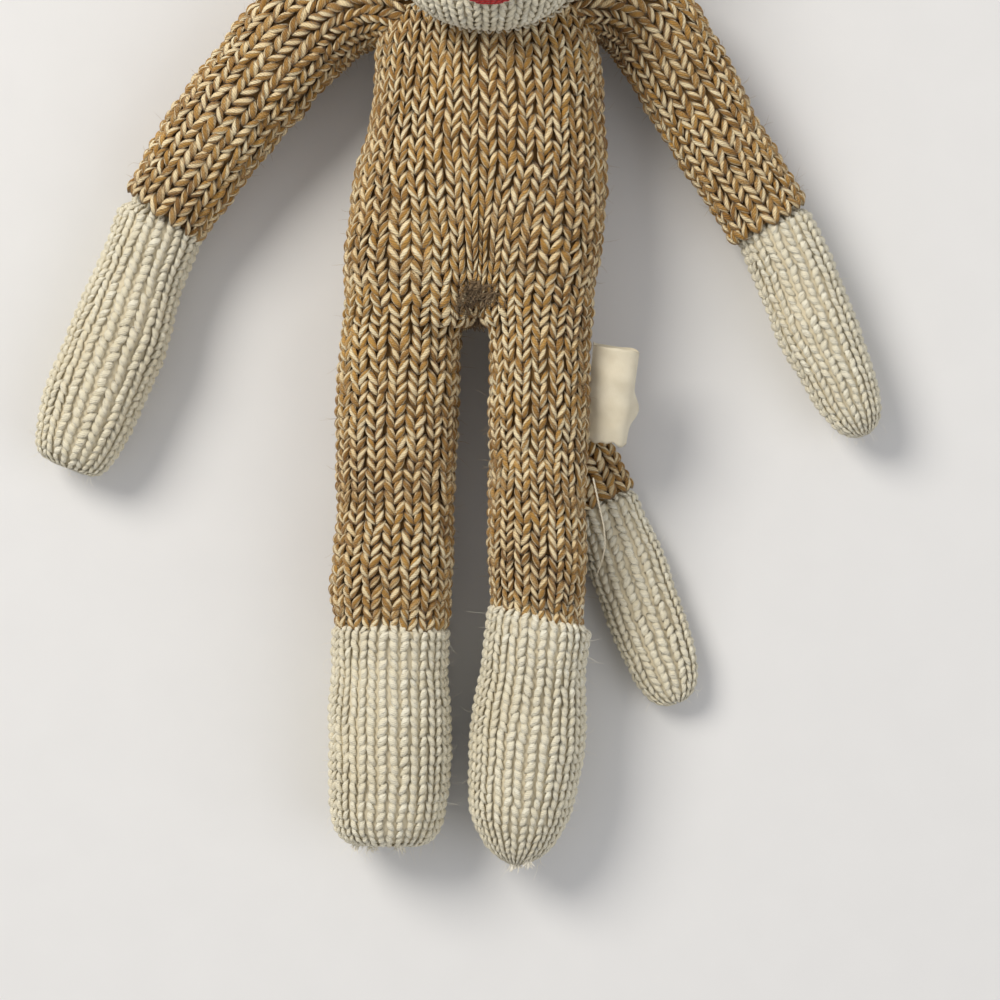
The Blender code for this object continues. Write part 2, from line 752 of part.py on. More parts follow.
def make_leg(side, sizes):
    hip, angle, length, width, ankle_height, ankle_radius, shares = sizes[:7]
    foot_angle, foot_length, foot_width, foot_shares, taper = sizes[7:]
    line = lying(hip, angle, length, ankle_height)
    ankle = (ankle_radius, ankle_radius)
    leg = Limb(line, length, width, width, (width / 2, width / 2), shares, LEG_SIDES, cup=ankle)
    make_limb(leg, f"leg_{side}", "marl", f"leg_stuffing_{side}")
    foot_line = lying(leg.end(), foot_angle, foot_length, foot_width * FOOT_REST_SHARE)
    foot = Limb(foot_line, foot_length, foot_width, foot_width, ankle, foot_shares, LEG_SIDES, tip=taper)
    make_limb(foot, f"foot_{side}", "cream", f"foot_stuffing_{side}")
    folded = Matrix.Rotation(-HIP_FOLD, 3, "X") @ line.ahead
    return leg, (line.ahead, folded)


def make_tail():
    middle = TAIL_DEPTH / 2
    start = Vector((TAIL_ROOT_X, TAIL_ROOT_Y, middle))
    line = lying(start, TAIL_ANGLE, TAIL_LENGTH, middle)
    thin = TAIL_ROOT_RADIUS
    joint = (TAIL_JOINT_RADIUS, TAIL_DEPTH / 2 - KNIT - GAP)
    tail = Limb(line, TAIL_LENGTH, TAIL_WIDTH, TAIL_DEPTH, (thin, thin), TAIL_SHARES, TAIL_SIDES, cup=joint)
    make_limb(tail, "tail_knit", "marl", "tail_stuffing")
    end = lying(tail.end(), TAIL_TIP_ANGLE, TAIL_TIP_LENGTH, middle)
    sizes = (TAIL_TIP_LENGTH, TAIL_WIDTH, TAIL_DEPTH)
    tip = Limb(end, *sizes, joint, TAIL_TIP_SHARES, TAIL_SIDES, tip=TAIL_TAPER)
    make_limb(tip, "tail_tip_knit", "cream", "tail_tip_stuffing")
    return tail, (line.ahead,)


def make_label(leg):
    """A folded loop of satin, caught in the side seam, with a little curl along its reach."""
    run = LABEL_BELOW_HIP
    start = leg.line.at(run, 0, 0) + Vector((leg.width / 2 + GAP, 0, 0))
    down = Vector((math.sin(LABEL_TURN), -math.cos(LABEL_TURN), 0))
    out = Vector((math.cos(LABEL_TURN), math.sin(LABEL_TURN), 0))
    rise = Vector((0, 0, 1))
    half = LABEL_THICKNESS / 2
    rings = []
    for share, curl in LABEL_CURL:
        base = start + out * (share * LABEL_REACH) + rise * (curl * LABEL_REACH)
        far = base + down * LABEL_HEIGHT
        rings.append([base + rise * half, far + rise * half, far - rise * half, base - rise * half])
    first = sum(rings[0], Vector()) / 4
    last = sum(rings[-1], Vector()) / 4
    label = surface("side_label", [first, *rings, last], "satin")
    label.data.shade_flat()
    move_origin(label, start)


def main():
    clear_scene()
    arms = (
        ("left", -1, (LEFT_ARM_ANGLE, LEFT_SLEEVE_LENGTH, LEFT_SLEEVE_WIDTH,
                      LEFT_MITT_ANGLE, LEFT_MITT_LENGTH, LEFT_MITT_WIDTH, LEFT_MITT_SHARES)),
        ("right", 1, (RIGHT_ARM_ANGLE, RIGHT_SLEEVE_LENGTH, RIGHT_SLEEVE_WIDTH,
                      RIGHT_MITT_ANGLE, RIGHT_MITT_LENGTH, RIGHT_MITT_WIDTH, RIGHT_MITT_SHARES)),
    )
    left_hip = Vector((LEFT_HIP_X, LEFT_HIP_Y, LEFT_HIP_HEIGHT))
    right_hip = Vector((RIGHT_HIP_X, RIGHT_HIP_Y, RIGHT_HIP_HEIGHT))
    legs = (
        ("left", (left_hip, -LEFT_LEG_ANGLE, LEFT_LEG_LENGTH, LEFT_LEG_WIDTH,
                  LEFT_ANKLE_HEIGHT, LEFT_ANKLE_RADIUS, LEFT_LEG_SHARES,
                  -LEFT_FOOT_ANGLE, LEFT_FOOT_LENGTH, LEFT_FOOT_WIDTH,
                  LEFT_FOOT_SHARES, LEFT_FOOT_TAPER)),
        ("right", (right_hip, -RIGHT_LEG_ANGLE, RIGHT_LEG_LENGTH, RIGHT_LEG_WIDTH,
                   RIGHT_ANKLE_HEIGHT, RIGHT_ANKLE_RADIUS, RIGHT_LEG_SHARES,
                   -RIGHT_FOOT_ANGLE, RIGHT_FOOT_LENGTH, RIGHT_FOOT_WIDTH,
                   RIGHT_FOOT_SHARES, RIGHT_FOOT_TAPER)),
    )
    limbs = [make_arm(*arm) for arm in arms] + [make_leg(*leg) for leg in legs]
    make_label(limbs[3][0])
    limbs.append(make_tail())

    neck = Vector((0, TORSO_FOOT_Y + TORSO_LENGTH - NECK_INSET, NECK_HEIGHT))
    line = head_line(neck)
    bowl = HEAD_WIDTH * HEAD_ROOM_SHARE
    make_torso(limbs, neck, (neck + Vector((0, bowl - NECK_RADIUS / 2, 0)), bowl))
    move_origin(ball("neck_stuffing", neck, NECK_RADIUS, "stuffing", ARM_SIDES), neck)
    thread = NECK_RADIUS + GAP + NECK_THREAD_RADIUS
    ring_of_thread("neck_thread", neck, Vector((0, 1, 0)), thread, NECK_THREAD_RADIUS)
    make_head(line, neck)
    make_muzzle(line)
    make_eyes(line)
    hang_head(neck)
    make_ears(line)


main()
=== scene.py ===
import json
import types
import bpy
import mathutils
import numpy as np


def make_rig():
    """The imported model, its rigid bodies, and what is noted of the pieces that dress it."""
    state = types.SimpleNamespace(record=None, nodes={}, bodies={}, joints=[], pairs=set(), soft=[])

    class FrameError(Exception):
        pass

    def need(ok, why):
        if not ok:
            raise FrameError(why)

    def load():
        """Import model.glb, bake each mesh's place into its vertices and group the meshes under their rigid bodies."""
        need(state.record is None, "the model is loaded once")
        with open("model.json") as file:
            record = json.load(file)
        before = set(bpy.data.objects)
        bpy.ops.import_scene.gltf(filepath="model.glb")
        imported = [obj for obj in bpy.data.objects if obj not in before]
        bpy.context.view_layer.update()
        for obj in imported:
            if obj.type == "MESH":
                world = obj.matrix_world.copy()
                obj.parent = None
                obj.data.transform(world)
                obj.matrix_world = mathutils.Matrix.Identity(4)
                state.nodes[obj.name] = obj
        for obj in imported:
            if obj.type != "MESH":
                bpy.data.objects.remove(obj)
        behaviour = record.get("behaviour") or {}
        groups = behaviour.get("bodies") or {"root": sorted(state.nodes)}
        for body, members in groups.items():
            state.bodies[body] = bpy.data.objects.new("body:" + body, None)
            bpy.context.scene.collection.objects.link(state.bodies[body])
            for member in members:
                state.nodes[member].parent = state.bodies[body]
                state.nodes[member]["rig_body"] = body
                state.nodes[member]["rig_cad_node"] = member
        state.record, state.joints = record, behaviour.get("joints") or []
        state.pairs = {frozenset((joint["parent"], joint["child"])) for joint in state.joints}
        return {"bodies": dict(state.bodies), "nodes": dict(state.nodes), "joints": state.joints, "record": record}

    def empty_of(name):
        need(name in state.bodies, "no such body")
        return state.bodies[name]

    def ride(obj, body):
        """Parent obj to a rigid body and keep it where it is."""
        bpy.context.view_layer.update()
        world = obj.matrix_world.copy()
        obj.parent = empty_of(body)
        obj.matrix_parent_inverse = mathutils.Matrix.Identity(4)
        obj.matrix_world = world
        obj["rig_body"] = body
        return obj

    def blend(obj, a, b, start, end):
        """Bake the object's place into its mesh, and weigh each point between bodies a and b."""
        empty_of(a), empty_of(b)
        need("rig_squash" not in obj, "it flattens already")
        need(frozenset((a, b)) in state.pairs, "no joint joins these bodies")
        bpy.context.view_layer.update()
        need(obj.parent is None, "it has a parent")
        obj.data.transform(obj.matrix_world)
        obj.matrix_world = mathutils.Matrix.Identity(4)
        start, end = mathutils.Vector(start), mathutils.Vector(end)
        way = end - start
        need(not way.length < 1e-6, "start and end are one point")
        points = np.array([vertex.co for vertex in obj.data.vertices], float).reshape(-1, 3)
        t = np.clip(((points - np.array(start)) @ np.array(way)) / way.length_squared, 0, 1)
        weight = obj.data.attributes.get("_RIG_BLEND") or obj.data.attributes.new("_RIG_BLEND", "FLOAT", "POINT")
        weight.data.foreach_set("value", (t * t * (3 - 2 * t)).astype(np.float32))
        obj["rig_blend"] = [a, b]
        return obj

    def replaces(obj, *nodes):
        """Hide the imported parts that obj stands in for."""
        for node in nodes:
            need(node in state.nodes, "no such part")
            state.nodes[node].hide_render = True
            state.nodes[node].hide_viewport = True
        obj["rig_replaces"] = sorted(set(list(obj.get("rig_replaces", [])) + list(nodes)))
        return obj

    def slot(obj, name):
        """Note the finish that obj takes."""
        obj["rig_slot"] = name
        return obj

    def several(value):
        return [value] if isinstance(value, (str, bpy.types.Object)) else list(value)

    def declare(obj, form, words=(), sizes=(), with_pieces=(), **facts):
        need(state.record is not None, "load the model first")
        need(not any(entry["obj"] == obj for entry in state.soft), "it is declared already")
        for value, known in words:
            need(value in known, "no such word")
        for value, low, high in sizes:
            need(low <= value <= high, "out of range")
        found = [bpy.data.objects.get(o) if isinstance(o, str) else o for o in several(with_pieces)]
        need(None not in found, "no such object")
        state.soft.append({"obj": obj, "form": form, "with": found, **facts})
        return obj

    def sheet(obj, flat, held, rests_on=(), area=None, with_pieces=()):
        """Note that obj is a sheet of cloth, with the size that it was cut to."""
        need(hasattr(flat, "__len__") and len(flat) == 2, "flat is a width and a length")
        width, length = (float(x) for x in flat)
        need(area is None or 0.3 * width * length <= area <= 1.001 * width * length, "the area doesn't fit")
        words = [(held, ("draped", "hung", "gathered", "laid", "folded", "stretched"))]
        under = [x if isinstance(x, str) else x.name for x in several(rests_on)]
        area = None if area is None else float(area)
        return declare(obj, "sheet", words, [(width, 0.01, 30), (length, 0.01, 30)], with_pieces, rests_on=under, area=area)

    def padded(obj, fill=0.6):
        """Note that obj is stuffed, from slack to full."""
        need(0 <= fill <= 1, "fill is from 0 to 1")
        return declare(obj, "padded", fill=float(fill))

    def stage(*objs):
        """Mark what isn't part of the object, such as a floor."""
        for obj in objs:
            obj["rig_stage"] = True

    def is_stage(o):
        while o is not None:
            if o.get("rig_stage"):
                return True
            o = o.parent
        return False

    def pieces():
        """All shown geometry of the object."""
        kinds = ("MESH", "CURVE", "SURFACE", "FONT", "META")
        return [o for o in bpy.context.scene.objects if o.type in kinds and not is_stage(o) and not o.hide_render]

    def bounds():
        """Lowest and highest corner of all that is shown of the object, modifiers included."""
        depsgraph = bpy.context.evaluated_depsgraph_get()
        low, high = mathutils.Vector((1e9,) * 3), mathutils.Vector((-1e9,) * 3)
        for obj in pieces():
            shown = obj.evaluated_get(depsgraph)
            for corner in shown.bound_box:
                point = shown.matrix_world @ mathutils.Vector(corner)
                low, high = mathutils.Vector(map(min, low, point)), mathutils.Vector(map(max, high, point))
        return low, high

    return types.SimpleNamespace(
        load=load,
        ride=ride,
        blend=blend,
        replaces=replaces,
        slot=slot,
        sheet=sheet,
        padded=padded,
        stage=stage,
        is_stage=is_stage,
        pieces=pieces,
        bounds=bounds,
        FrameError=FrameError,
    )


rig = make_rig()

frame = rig.load()

import json
import math
import random
from math import cos, pi, sin, sqrt, tau

import bmesh
import bpy
import numpy as np
from mathutils import Vector, noise

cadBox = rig.bounds()
joints = {j["name"]: j for j in frame["joints"]}
scene = bpy.context.scene
eastward, upward = np.array([1.0, 0, 0]), np.array([0, 0, 1.0])
print("frame read")


# Forms are grids of points [along][around], in metres

def unit(v):
    v = np.asarray(v, float)
    return v / np.linalg.norm(v)


def jointAt(name):
    return np.array(joints[name]["pos_m"], float)


def nodePoints(*names):
    return np.concatenate([np.array([v.co for v in frame["nodes"][n].data.vertices], float) for n in names])


def farEnd(start, *names):
    # the middle of the points that lie furthest from a joint
    pts = nodePoints(*names)
    away = np.linalg.norm(pts - start, axis=1)
    return pts[away > away.max() * 0.985].mean(0)


def axesOf(ahead):
    across = unit(np.cross(ahead, upward))
    return across, unit(np.cross(across, ahead))


def relaxed(pts, times, first=0):
    # every row drawn towards its neighbours, from one column on; the ends stay
    pts = pts.copy()
    for _ in range(times):
        pts[1:-1, first:] = (pts[:-2, first:] + pts[1:-1, first:] * 2 + pts[2:, first:]) / 4
    return pts


def slices(names, start, ahead, across, up, runs, times):
    # run, middle and half size of the CAD skin across a line, at each run along it
    low, high, found = [], [], []
    for n in names:
        mesh = frame["nodes"][n].data
        co = np.array([v.co for v in mesh.vertices], float) - start
        mesh.calc_loop_triangles()
        tri = np.array([t.vertices for t in mesh.loop_triangles])
        edges = np.concatenate([tri[:, [0, 1]], tri[:, [1, 2]], tri[:, [2, 0]]])
        low.append(co[edges[:, 0]])
        high.append(co[edges[:, 1]])
    low, high = np.concatenate(low), np.concatenate(high)
    a, b = low @ ahead, high @ ahead
    for run in runs:
        hit = (a - run) * (b - run) < 0
        if hit.sum() < 3:
            continue
        share = ((run - a[hit]) / (b[hit] - a[hit]))[:, None]
        at = low[hit] + (high[hit] - low[hit]) * share
        x, z = at @ across, at @ up
        found.append((run, (x.max() + x.min()) / 2, (x.max() - x.min()) / 2, (z.max() + z.min()) / 2, (z.max() - z.min()) / 2))
    return relaxed(np.array(found), times, 1)


def evenRows(pts, count):
    # the same form with its rows spaced evenly along its mean length
    step = np.linalg.norm(np.diff(pts, axis=0), axis=2).mean(1)
    run = np.concatenate([[0], np.cumsum(step)])
    want = np.linspace(0, run[-1], count)
    flat = pts.reshape(len(pts), -1)
    out = np.stack([np.interp(want, run, flat[:, i]) for i in range(flat.shape[1])], 1)
    return out.reshape(count, *pts.shape[1:]), run[-1]


def normalsOf(pts, wraps):
    if wraps:
        around = np.roll(pts[:, :-1], -1, 1) - np.roll(pts[:, :-1], 1, 1)
        around = np.concatenate([around, around[:, :1]], 1)
    else:
        around = np.gradient(pts, axis=1)
    n = np.cross(around, np.gradient(pts, axis=0))
    n /= np.maximum(np.linalg.norm(n, axis=2, keepdims=True), 1e-12)
    return n if ((pts - pts.mean(1, keepdims=True)) * n).sum() > 0 else -n


def lumpy(pts, wraps, size, reach, seed):
    # the soft unevenness of a hand-filled limb
    n = normalsOf(pts, wraps)
    out = pts.copy()
    rows, cols = pts.shape[:2]
    for j in range(rows):
        fade = min(1, j / 4, (rows - 1 - j) / 4)
        for i in range(cols):
            p = Vector(pts[j, i]) / size + Vector((seed * 7.3, seed * 1.9, 0))
            out[j, i] += n[j, i] * (noise.noise(p) * reach * fade)
    if wraps:
        out[:, -1] = out[:, 0]
    return out


def oval(centre, across, up, wide, deep, angles, square=2.15):
    # square 2 is an ellipse, and more than that is boxier
    power = 2 / square
    c, s = np.cos(angles), np.sin(angles)
    x, z = np.sign(c) * np.abs(c) ** power * wide, np.sign(s) * np.abs(s) ** power * deep
    return centre + x[:, None] * across + z[:, None] * up


def eased(share):
    share = np.clip(share, 0, 1)
    return share * share * (3 - 2 * share)


# Meshes

def placed(name, mesh):
    thing = bpy.data.objects.new(name, mesh)
    scene.collection.objects.link(thing)
    return thing


def closed(work, mesh, look=None):
    # the work mesh written back with its faces outward
    bmesh.ops.recalc_face_normals(work, faces=work.faces)
    work.to_mesh(mesh)
    work.free()
    mesh.shade_smooth()
    if look:
        mesh.materials.append(look)


def tubeFaces(first, rings, sides, runs):
    # the sides and two ends of one tube, and the run along it and turn round it at each corner
    faces, ply = [], []
    for k in range(rings - 1):
        near, far = first + k * sides, first + (k + 1) * sides
        for i in range(sides):
            j, s0, s1 = (i + 1) % sides, i / sides, (i + 1) / sides
            faces.append((near + i, near + j, far + j, far + i))
            ply.append(((runs[k], s0), (runs[k], s1), (runs[k + 1], s1), (runs[k + 1], s0)))
    for k, order in ((0, range(sides - 1, -1, -1)), (rings - 1, range(sides))):
        faces.append([first + k * sides + i for i in order])
        ply.append([(runs[k], i / sides) for i in order])
    return faces, ply


def tubeMesh(name, points, tubes, look=None):
    faces, ply = ([x for tube in tubes for x in tube[k]] for k in (0, 1))
    mesh = bpy.data.meshes.new(name)
    mesh.from_pydata(points, [], faces)
    layer = mesh.uv_layers.new(name="ply")
    layer.uv.foreach_set("vector", np.array([c for f in ply for c in f], np.float32).ravel())
    work = bmesh.new()
    work.from_mesh(mesh)
    closed(work, mesh, look)
    return placed(name, mesh)


def strandMesh(name, paths, radius, look, sides=6, taper=0.0):
    # one round strand along each path, closed at both ends
    points, tubes = [], []
    for number, path in enumerate(paths):
        path = np.asarray(path, float)
        count = len(path)
        ahead = np.gradient(path, axis=0)
        ahead /= np.maximum(np.linalg.norm(ahead, axis=1, keepdims=True), 1e-9)
        side = unit(np.cross(ahead[0], (0.31, 0.17, 0.93)))
        length = np.concatenate([[0], np.cumsum(np.linalg.norm(np.diff(path, axis=0), axis=1))])
        tubes.append(tubeFaces(len(points), count, sides, length / length[-1]))
        wide = radius[number] if isinstance(radius, list) else radius
        for k in range(count):
            side = unit(side - ahead[k] * (side @ ahead[k]))
            up = np.cross(ahead[k], side)
            here = wide * (1 - taper * k / (count - 1)) * (0.45 if k in (0, count - 1) else 1.0)
            for turn in np.arange(sides) * tau / sides:
                points.append(tuple(path[k] + (side * cos(turn) + up * sin(turn)) * here))
    return tubeMesh(name, points, tubes, look)


def onBody(body, slot, *pieces):
    for piece in pieces:
        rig.ride(piece, body)
        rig.slot(piece, slot)


def settle(mesh, soft=0.0012):
    # what would sink into the floor is pressed flat on it instead
    co = np.zeros(len(mesh.vertices) * 3, np.float32)
    mesh.vertices.foreach_get("co", co)
    z = co[2::3]
    co[2::3] = np.where(z < soft, soft * np.exp((np.minimum(z, soft) - soft) / soft), z)
    mesh.vertices.foreach_set("co", co)
    mesh.update()


# Knit: one V of yarn, and the tree that lays it over a form

stitchShape = {
    "rings": 7, "sides": 6, "top": 0.90, "point": -0.66, "apart": 0.405, "together": 0.050,
    "halfWidth": 0.200, "halfDepth": 0.145, "rise": 0.10, "dip": 0.20, "tail": 0.16, "slope": 0.10,
}
lightShape = dict(stitchShape, rings=6, sides=5)
creamShape = dict(stitchShape, top=0.84, point=-0.60, apart=0.335, together=0.150, halfWidth=0.178, halfDepth=0.115, rise=0.035)


def makeStitch(name, v):
    # both legs of one stitch, in columns across, rows down the form and column widths out
    points, tubes = [], []
    rings, sides = v["rings"], v["sides"]
    for leg, sign in enumerate((-1, 1)):
        tubes.append(tubeFaces(len(points), rings, sides, [k / (rings - 1) + leg * 2 for k in range(rings)]))
        for k in range(rings):
            t = k / (rings - 1)
            y = -v["point"] - (v["top"] - v["point"]) * t
            x = sign * (v["together"] + (v["apart"] - v["together"]) * t**0.8)
            swell = max(0.2, sin(pi * (0.10 + 0.80 * t))) ** 0.7
            z = v["rise"] * sin(pi * min(1, 0.2 + t * 0.75)) - v["dip"] * (1 - t) ** 3 - v["tail"] * t**4
            for turn in (tau * i / sides for i in range(sides)):
                points.append((x + v["halfWidth"] * swell * cos(turn) * sign, y + v["slope"] * sin(turn),
                               z + v["halfDepth"] * swell * sin(turn)))
    thing = tubeMesh(name, points, tubes)
    thing.hide_render = True
    return thing


class Wire:
    # a node's output that can stand in a sum, each step of which becomes a maths node

    def __init__(self, tree, socket):
        self.tree, self.socket = tree, socket

    def maths(self, operation, other=0.0):
        return self.tree.maths(operation, self, other)

    def __add__(self, other):
        return self.maths("ADD", other)

    def __sub__(self, other):
        return self.maths("SUBTRACT", other)

    def __rsub__(self, other):
        return self.tree.maths("SUBTRACT", other, self)

    def __mul__(self, other):
        return self.maths("MULTIPLY", other)

    def __truediv__(self, other):
        return self.maths("DIVIDE", other)


class Tree:
    # short names for building node trees

    def __init__(self, tree):
        self.tree = tree

    def into(self, socket, value):
        if isinstance(value, Wire):
            self.tree.links.new(value.socket, socket)
        else:
            socket.default_value = value

    def add(self, kind, inputs, **settings):
        node = self.tree.nodes.new(kind)
        for key, value in settings.items():
            setattr(node, key, value)
        for key, value in inputs.items():
            self.into(node.inputs[key], value)
        return [Wire(self, s) for s in node.outputs]

    def get(self, kind, inputs={}, output=0, **settings):
        return self.add(kind, inputs, **settings)[output]

    def given(self):
        node = self.tree.nodes.new("NodeGroupInput")
        return {s.name: Wire(self, s) for s in node.outputs if s.name}

    def maths(self, operation, a, b=0.0):
        return self.get("ShaderNodeMath", {0: a, 1: b}, operation=operation)

    def vector(self, operation, a, b):
        return self.get("ShaderNodeVectorMath", {0: a, 3 if operation == "SCALE" else 1: b}, operation=operation)

    def parts(self, vector):
        return self.add("ShaderNodeSeparateXYZ", {0: vector})

    def xyz(self, x=0.0, y=0.0, z=0.0):
        return self.get("ShaderNodeCombineXYZ", {0: x, 1: y, 2: z})

    def ramp(self, value, low, high, first=0.0, last=1.0, curve="LINEAR"):
        return self.get("ShaderNodeMapRange", {0: value, 1: low, 2: high, 3: first, 4: last}, interpolation_type=curve)

    def named(self, kind, name):
        return self.get("GeometryNodeInputNamedAttribute", {"Name": name}, data_type=kind)


def knitTree():
    tree = bpy.data.node_groups.new("knitOverForm", "GeometryNodeTree")
    for name, kind, value in (
        ("Form", "Geometry", None), ("Stitch", "Object", None), ("Columns", "Int", 20), ("Rows", "Int", 20),
        ("Column Width", "Float", 0.0039), ("Wraps", "Bool", True), ("Looseness", "Float", 0.06), ("Waver", "Float", 0.2),
        ("Seed", "Int", 1), ("Yarn", "Material", None),
    ):
        socket = tree.interface.new_socket(name, in_out="INPUT", socket_type="NodeSocket" + kind)
        if value is not None:
            socket.default_value = value
    tree.interface.new_socket("Knit", in_out="OUTPUT", socket_type="NodeSocketGeometry")
    t = Tree(tree)
    given = t.given()
    columns, rows, seed = given["Columns"], given["Rows"], given["Seed"]
    knitMap = t.named("FLOAT_VECTOR", "knit")

    def held(share):
        return share.maths("MAXIMUM", 0.0005).maths("MINIMUM", 0.9995)

    def onMap(flat):
        # a little of the form is kept free at each end, so that end stitches have something to lie on
        x, y = t.parts(flat)[:2]
        across = x / columns
        u = t.get("GeometryNodeSwitch", {0: given["Wraps"], 1: held(across), 2: across.maths("FRACT")}, input_type="FLOAT")
        return t.xyz(u, held((y + 0.5) / (rows + 0.9)))

    def fromForm(kind, value, where):
        return t.add("GeometryNodeSampleUVSurface", {
            0: given["Form"], "Value": value, "Source UV Map": knitMap, "Sample UV": where}, data_type=kind)

    def chance(low, high, more, output=1):
        kind, at = ("FLOAT", 2) if output else ("FLOAT_VECTOR", 0)
        return t.get("FunctionNodeRandomValue", {at: low, at + 1: high, "Seed": seed + more}, output, data_type=kind)

    grid = t.get("GeometryNodeMeshGrid", {"Size X": columns - 1, "Size Y": rows - 1, "Vertices X": columns, "Vertices Y": rows})
    whole = t.get("GeometryNodeSetPosition", {0: grid, "Offset": t.xyz(columns * 0.5, rows * 0.5)})
    here = t.get("GeometryNodeInputPosition")
    spot = t.parts(here)
    cell = t.xyz(spot[0].maths("FLOOR"), spot[1].maths("FLOOR"), chance(0.0, 1.0, 5))
    marked = t.get("GeometryNodeStoreNamedAttribute", {0: whole, "Name": "cell", "Value": cell},
                   data_type="FLOAT_VECTOR", domain="POINT")
    outside = fromForm("FLOAT", t.named("FLOAT", "kept"), onMap(here))[0].maths("LESS_THAN", 0.5)
    inside = t.get("GeometryNodeDeleteGeometry", {0: marked, "Selection": outside}, domain="POINT")
    slow = t.get("ShaderNodeTexNoise", {
        "Vector": t.vector("ADD", here, t.xyz(seed * 3.7, 0.0, seed * 3.7)), "Scale": 0.22, "Detail": 1.0}, 1)
    slow = t.vector("SUBTRACT", slow, (0.5, 0.5, 0.5))
    wander = chance((-1, -1, -0.6), (1, 1, 0.6), 0, 0)
    offset = t.vector("ADD", t.vector("SCALE", wander, given["Looseness"]), t.vector("SCALE", slow, given["Waver"]))
    size = chance(0.90, 1.12, 13)
    made = t.get("GeometryNodeInstanceOnPoints", {
        "Points": t.get("GeometryNodeSetPosition", {0: inside, "Offset": offset}),
        "Instance": t.add("GeometryNodeObjectInfo", {0: given["Stitch"]})[-1],
        "Rotation": t.xyz(z=chance(-0.10, 0.10, 9)), "Scale": t.xyz(size, size, size)})
    real = t.get("GeometryNodeRealizeInstances", {0: made})
    # every leg is unrolled into its own share of the bake's map
    ply, cellOf = (t.parts(t.named("FLOAT_VECTOR", name)) for name in ("ply", "cell"))
    leg = ply[0].maths("GREATER_THAN", 1.5)
    onBake = t.xyz((cellOf[0] + (ply[1] + leg) * 0.5) / columns, (cellOf[1] + (ply[0] - leg * 2.0)) / rows)
    laid = t.get("GeometryNodeStoreNamedAttribute", {0: real, "Name": "OFBake", "Value": onBake}, data_type="FLOAT2", domain="CORNER")
    flat = t.get("GeometryNodeInputPosition")
    where = onMap(flat)
    place, found = fromForm("FLOAT_VECTOR", t.get("GeometryNodeInputPosition"), where)[:2]
    missed = t.get("FunctionNodeBooleanMath", {0: found}, operation="NOT")
    sound = t.get("GeometryNodeDeleteGeometry", {0: laid, "Selection": missed}, domain="POINT") # points that lie off the map
    lift = t.parts(flat)[2] * (given["Column Width"] * fromForm("FLOAT", t.named("FLOAT", "gauge"), where)[0])
    out = t.vector("SCALE", fromForm("FLOAT_VECTOR", t.named("FLOAT_VECTOR", "outward"), where)[0], lift)
    onForm = t.get("GeometryNodeSetPosition", {0: sound, "Position": t.vector("ADD", place, out)})
    done = t.get("GeometryNodeRealizeInstances", {0: onForm})
    t.add("NodeGroupOutput", {0: t.get("GeometryNodeSetMaterial", {0: done, "Material": given["Yarn"]})})
    return tree


def formMesh(name, pts, wraps, rowAt=None, kept=None, knitMap=None, gauge=None):
    # the form as a mesh with its knit map, its outward way and how far its columns are drawn in
    rows, cols = pts.shape[:2]
    faces = [(j * cols + i, j * cols + i + 1, (j + 1) * cols + i + 1, (j + 1) * cols + i)
             for j in range(rows - 1) for i in range(cols - 1)]
    mesh = bpy.data.meshes.new(name)
    mesh.from_pydata(pts.reshape(-1, 3).tolist(), [], faces)
    if knitMap is None:
        u, v = np.meshgrid(np.linspace(0, 1, cols), np.linspace(0, 1, rows) if rowAt is None else rowAt)
        knitMap = np.stack([u, v], 2)
    corner = knitMap.reshape(-1, 2)[np.array(faces).ravel()]
    mesh.uv_layers.new(name="knit").uv.foreach_set("vector", corner.astype(np.float32).ravel())
    girth = np.linalg.norm(np.diff(pts, axis=1), axis=2).sum(1)
    share = np.clip(girth / np.percentile(girth, 70), 0.2, 1.15) if gauge is None else np.full(rows, gauge)
    for title, kind, values in (
        ("outward", "FLOAT_VECTOR", normalsOf(pts, wraps)), ("gauge", "FLOAT", np.repeat(share, cols)),
        ("kept", "FLOAT", np.ones(rows * cols) if kept is None else kept),
    ):
        layer = mesh.attributes.new(title, kind, "POINT")
        layer.data.foreach_set("vector" if kind == "FLOAT_VECTOR" else "value", np.asarray(values, np.float32).ravel())
    return placed(name, mesh), girth


def knitOver(name, pts, wraps, v, **more):
    # v holds the yarn, stitch, columns, rows and how uneven the hand was; the result is a plain mesh
    form, girth = formMesh(name + "_form", pts, wraps, **more)
    width = v.get("width", np.percentile(girth, 70) / v["columns"])
    changer = form.modifiers.new("knit", "NODES")
    changer.node_group = knitting
    sockets = {s.name: s.identifier for s in knitting.interface.items_tree if s.in_out == "INPUT"}
    for key, value in (("Stitch", v["stitch"]), ("Columns", v["columns"]), ("Rows", v["rows"]), ("Column Width", float(width)),
                       ("Wraps", wraps), ("Looseness", v.get("loose", 0.06)), ("Waver", v.get("waver", 0.5)), ("Seed", v["seed"]), ("Yarn", v["yarn"])):
        changer[sockets[key]] = value
    graph = bpy.context.evaluated_depsgraph_get()
    mesh = bpy.data.meshes.new_from_object(form.evaluated_get(graph), preserve_all_data_layers=True, depsgraph=graph)
    bpy.data.objects.remove(form)
    mesh.name = name
    settle(mesh)
    mesh.shade_smooth()
    return placed(name, mesh)


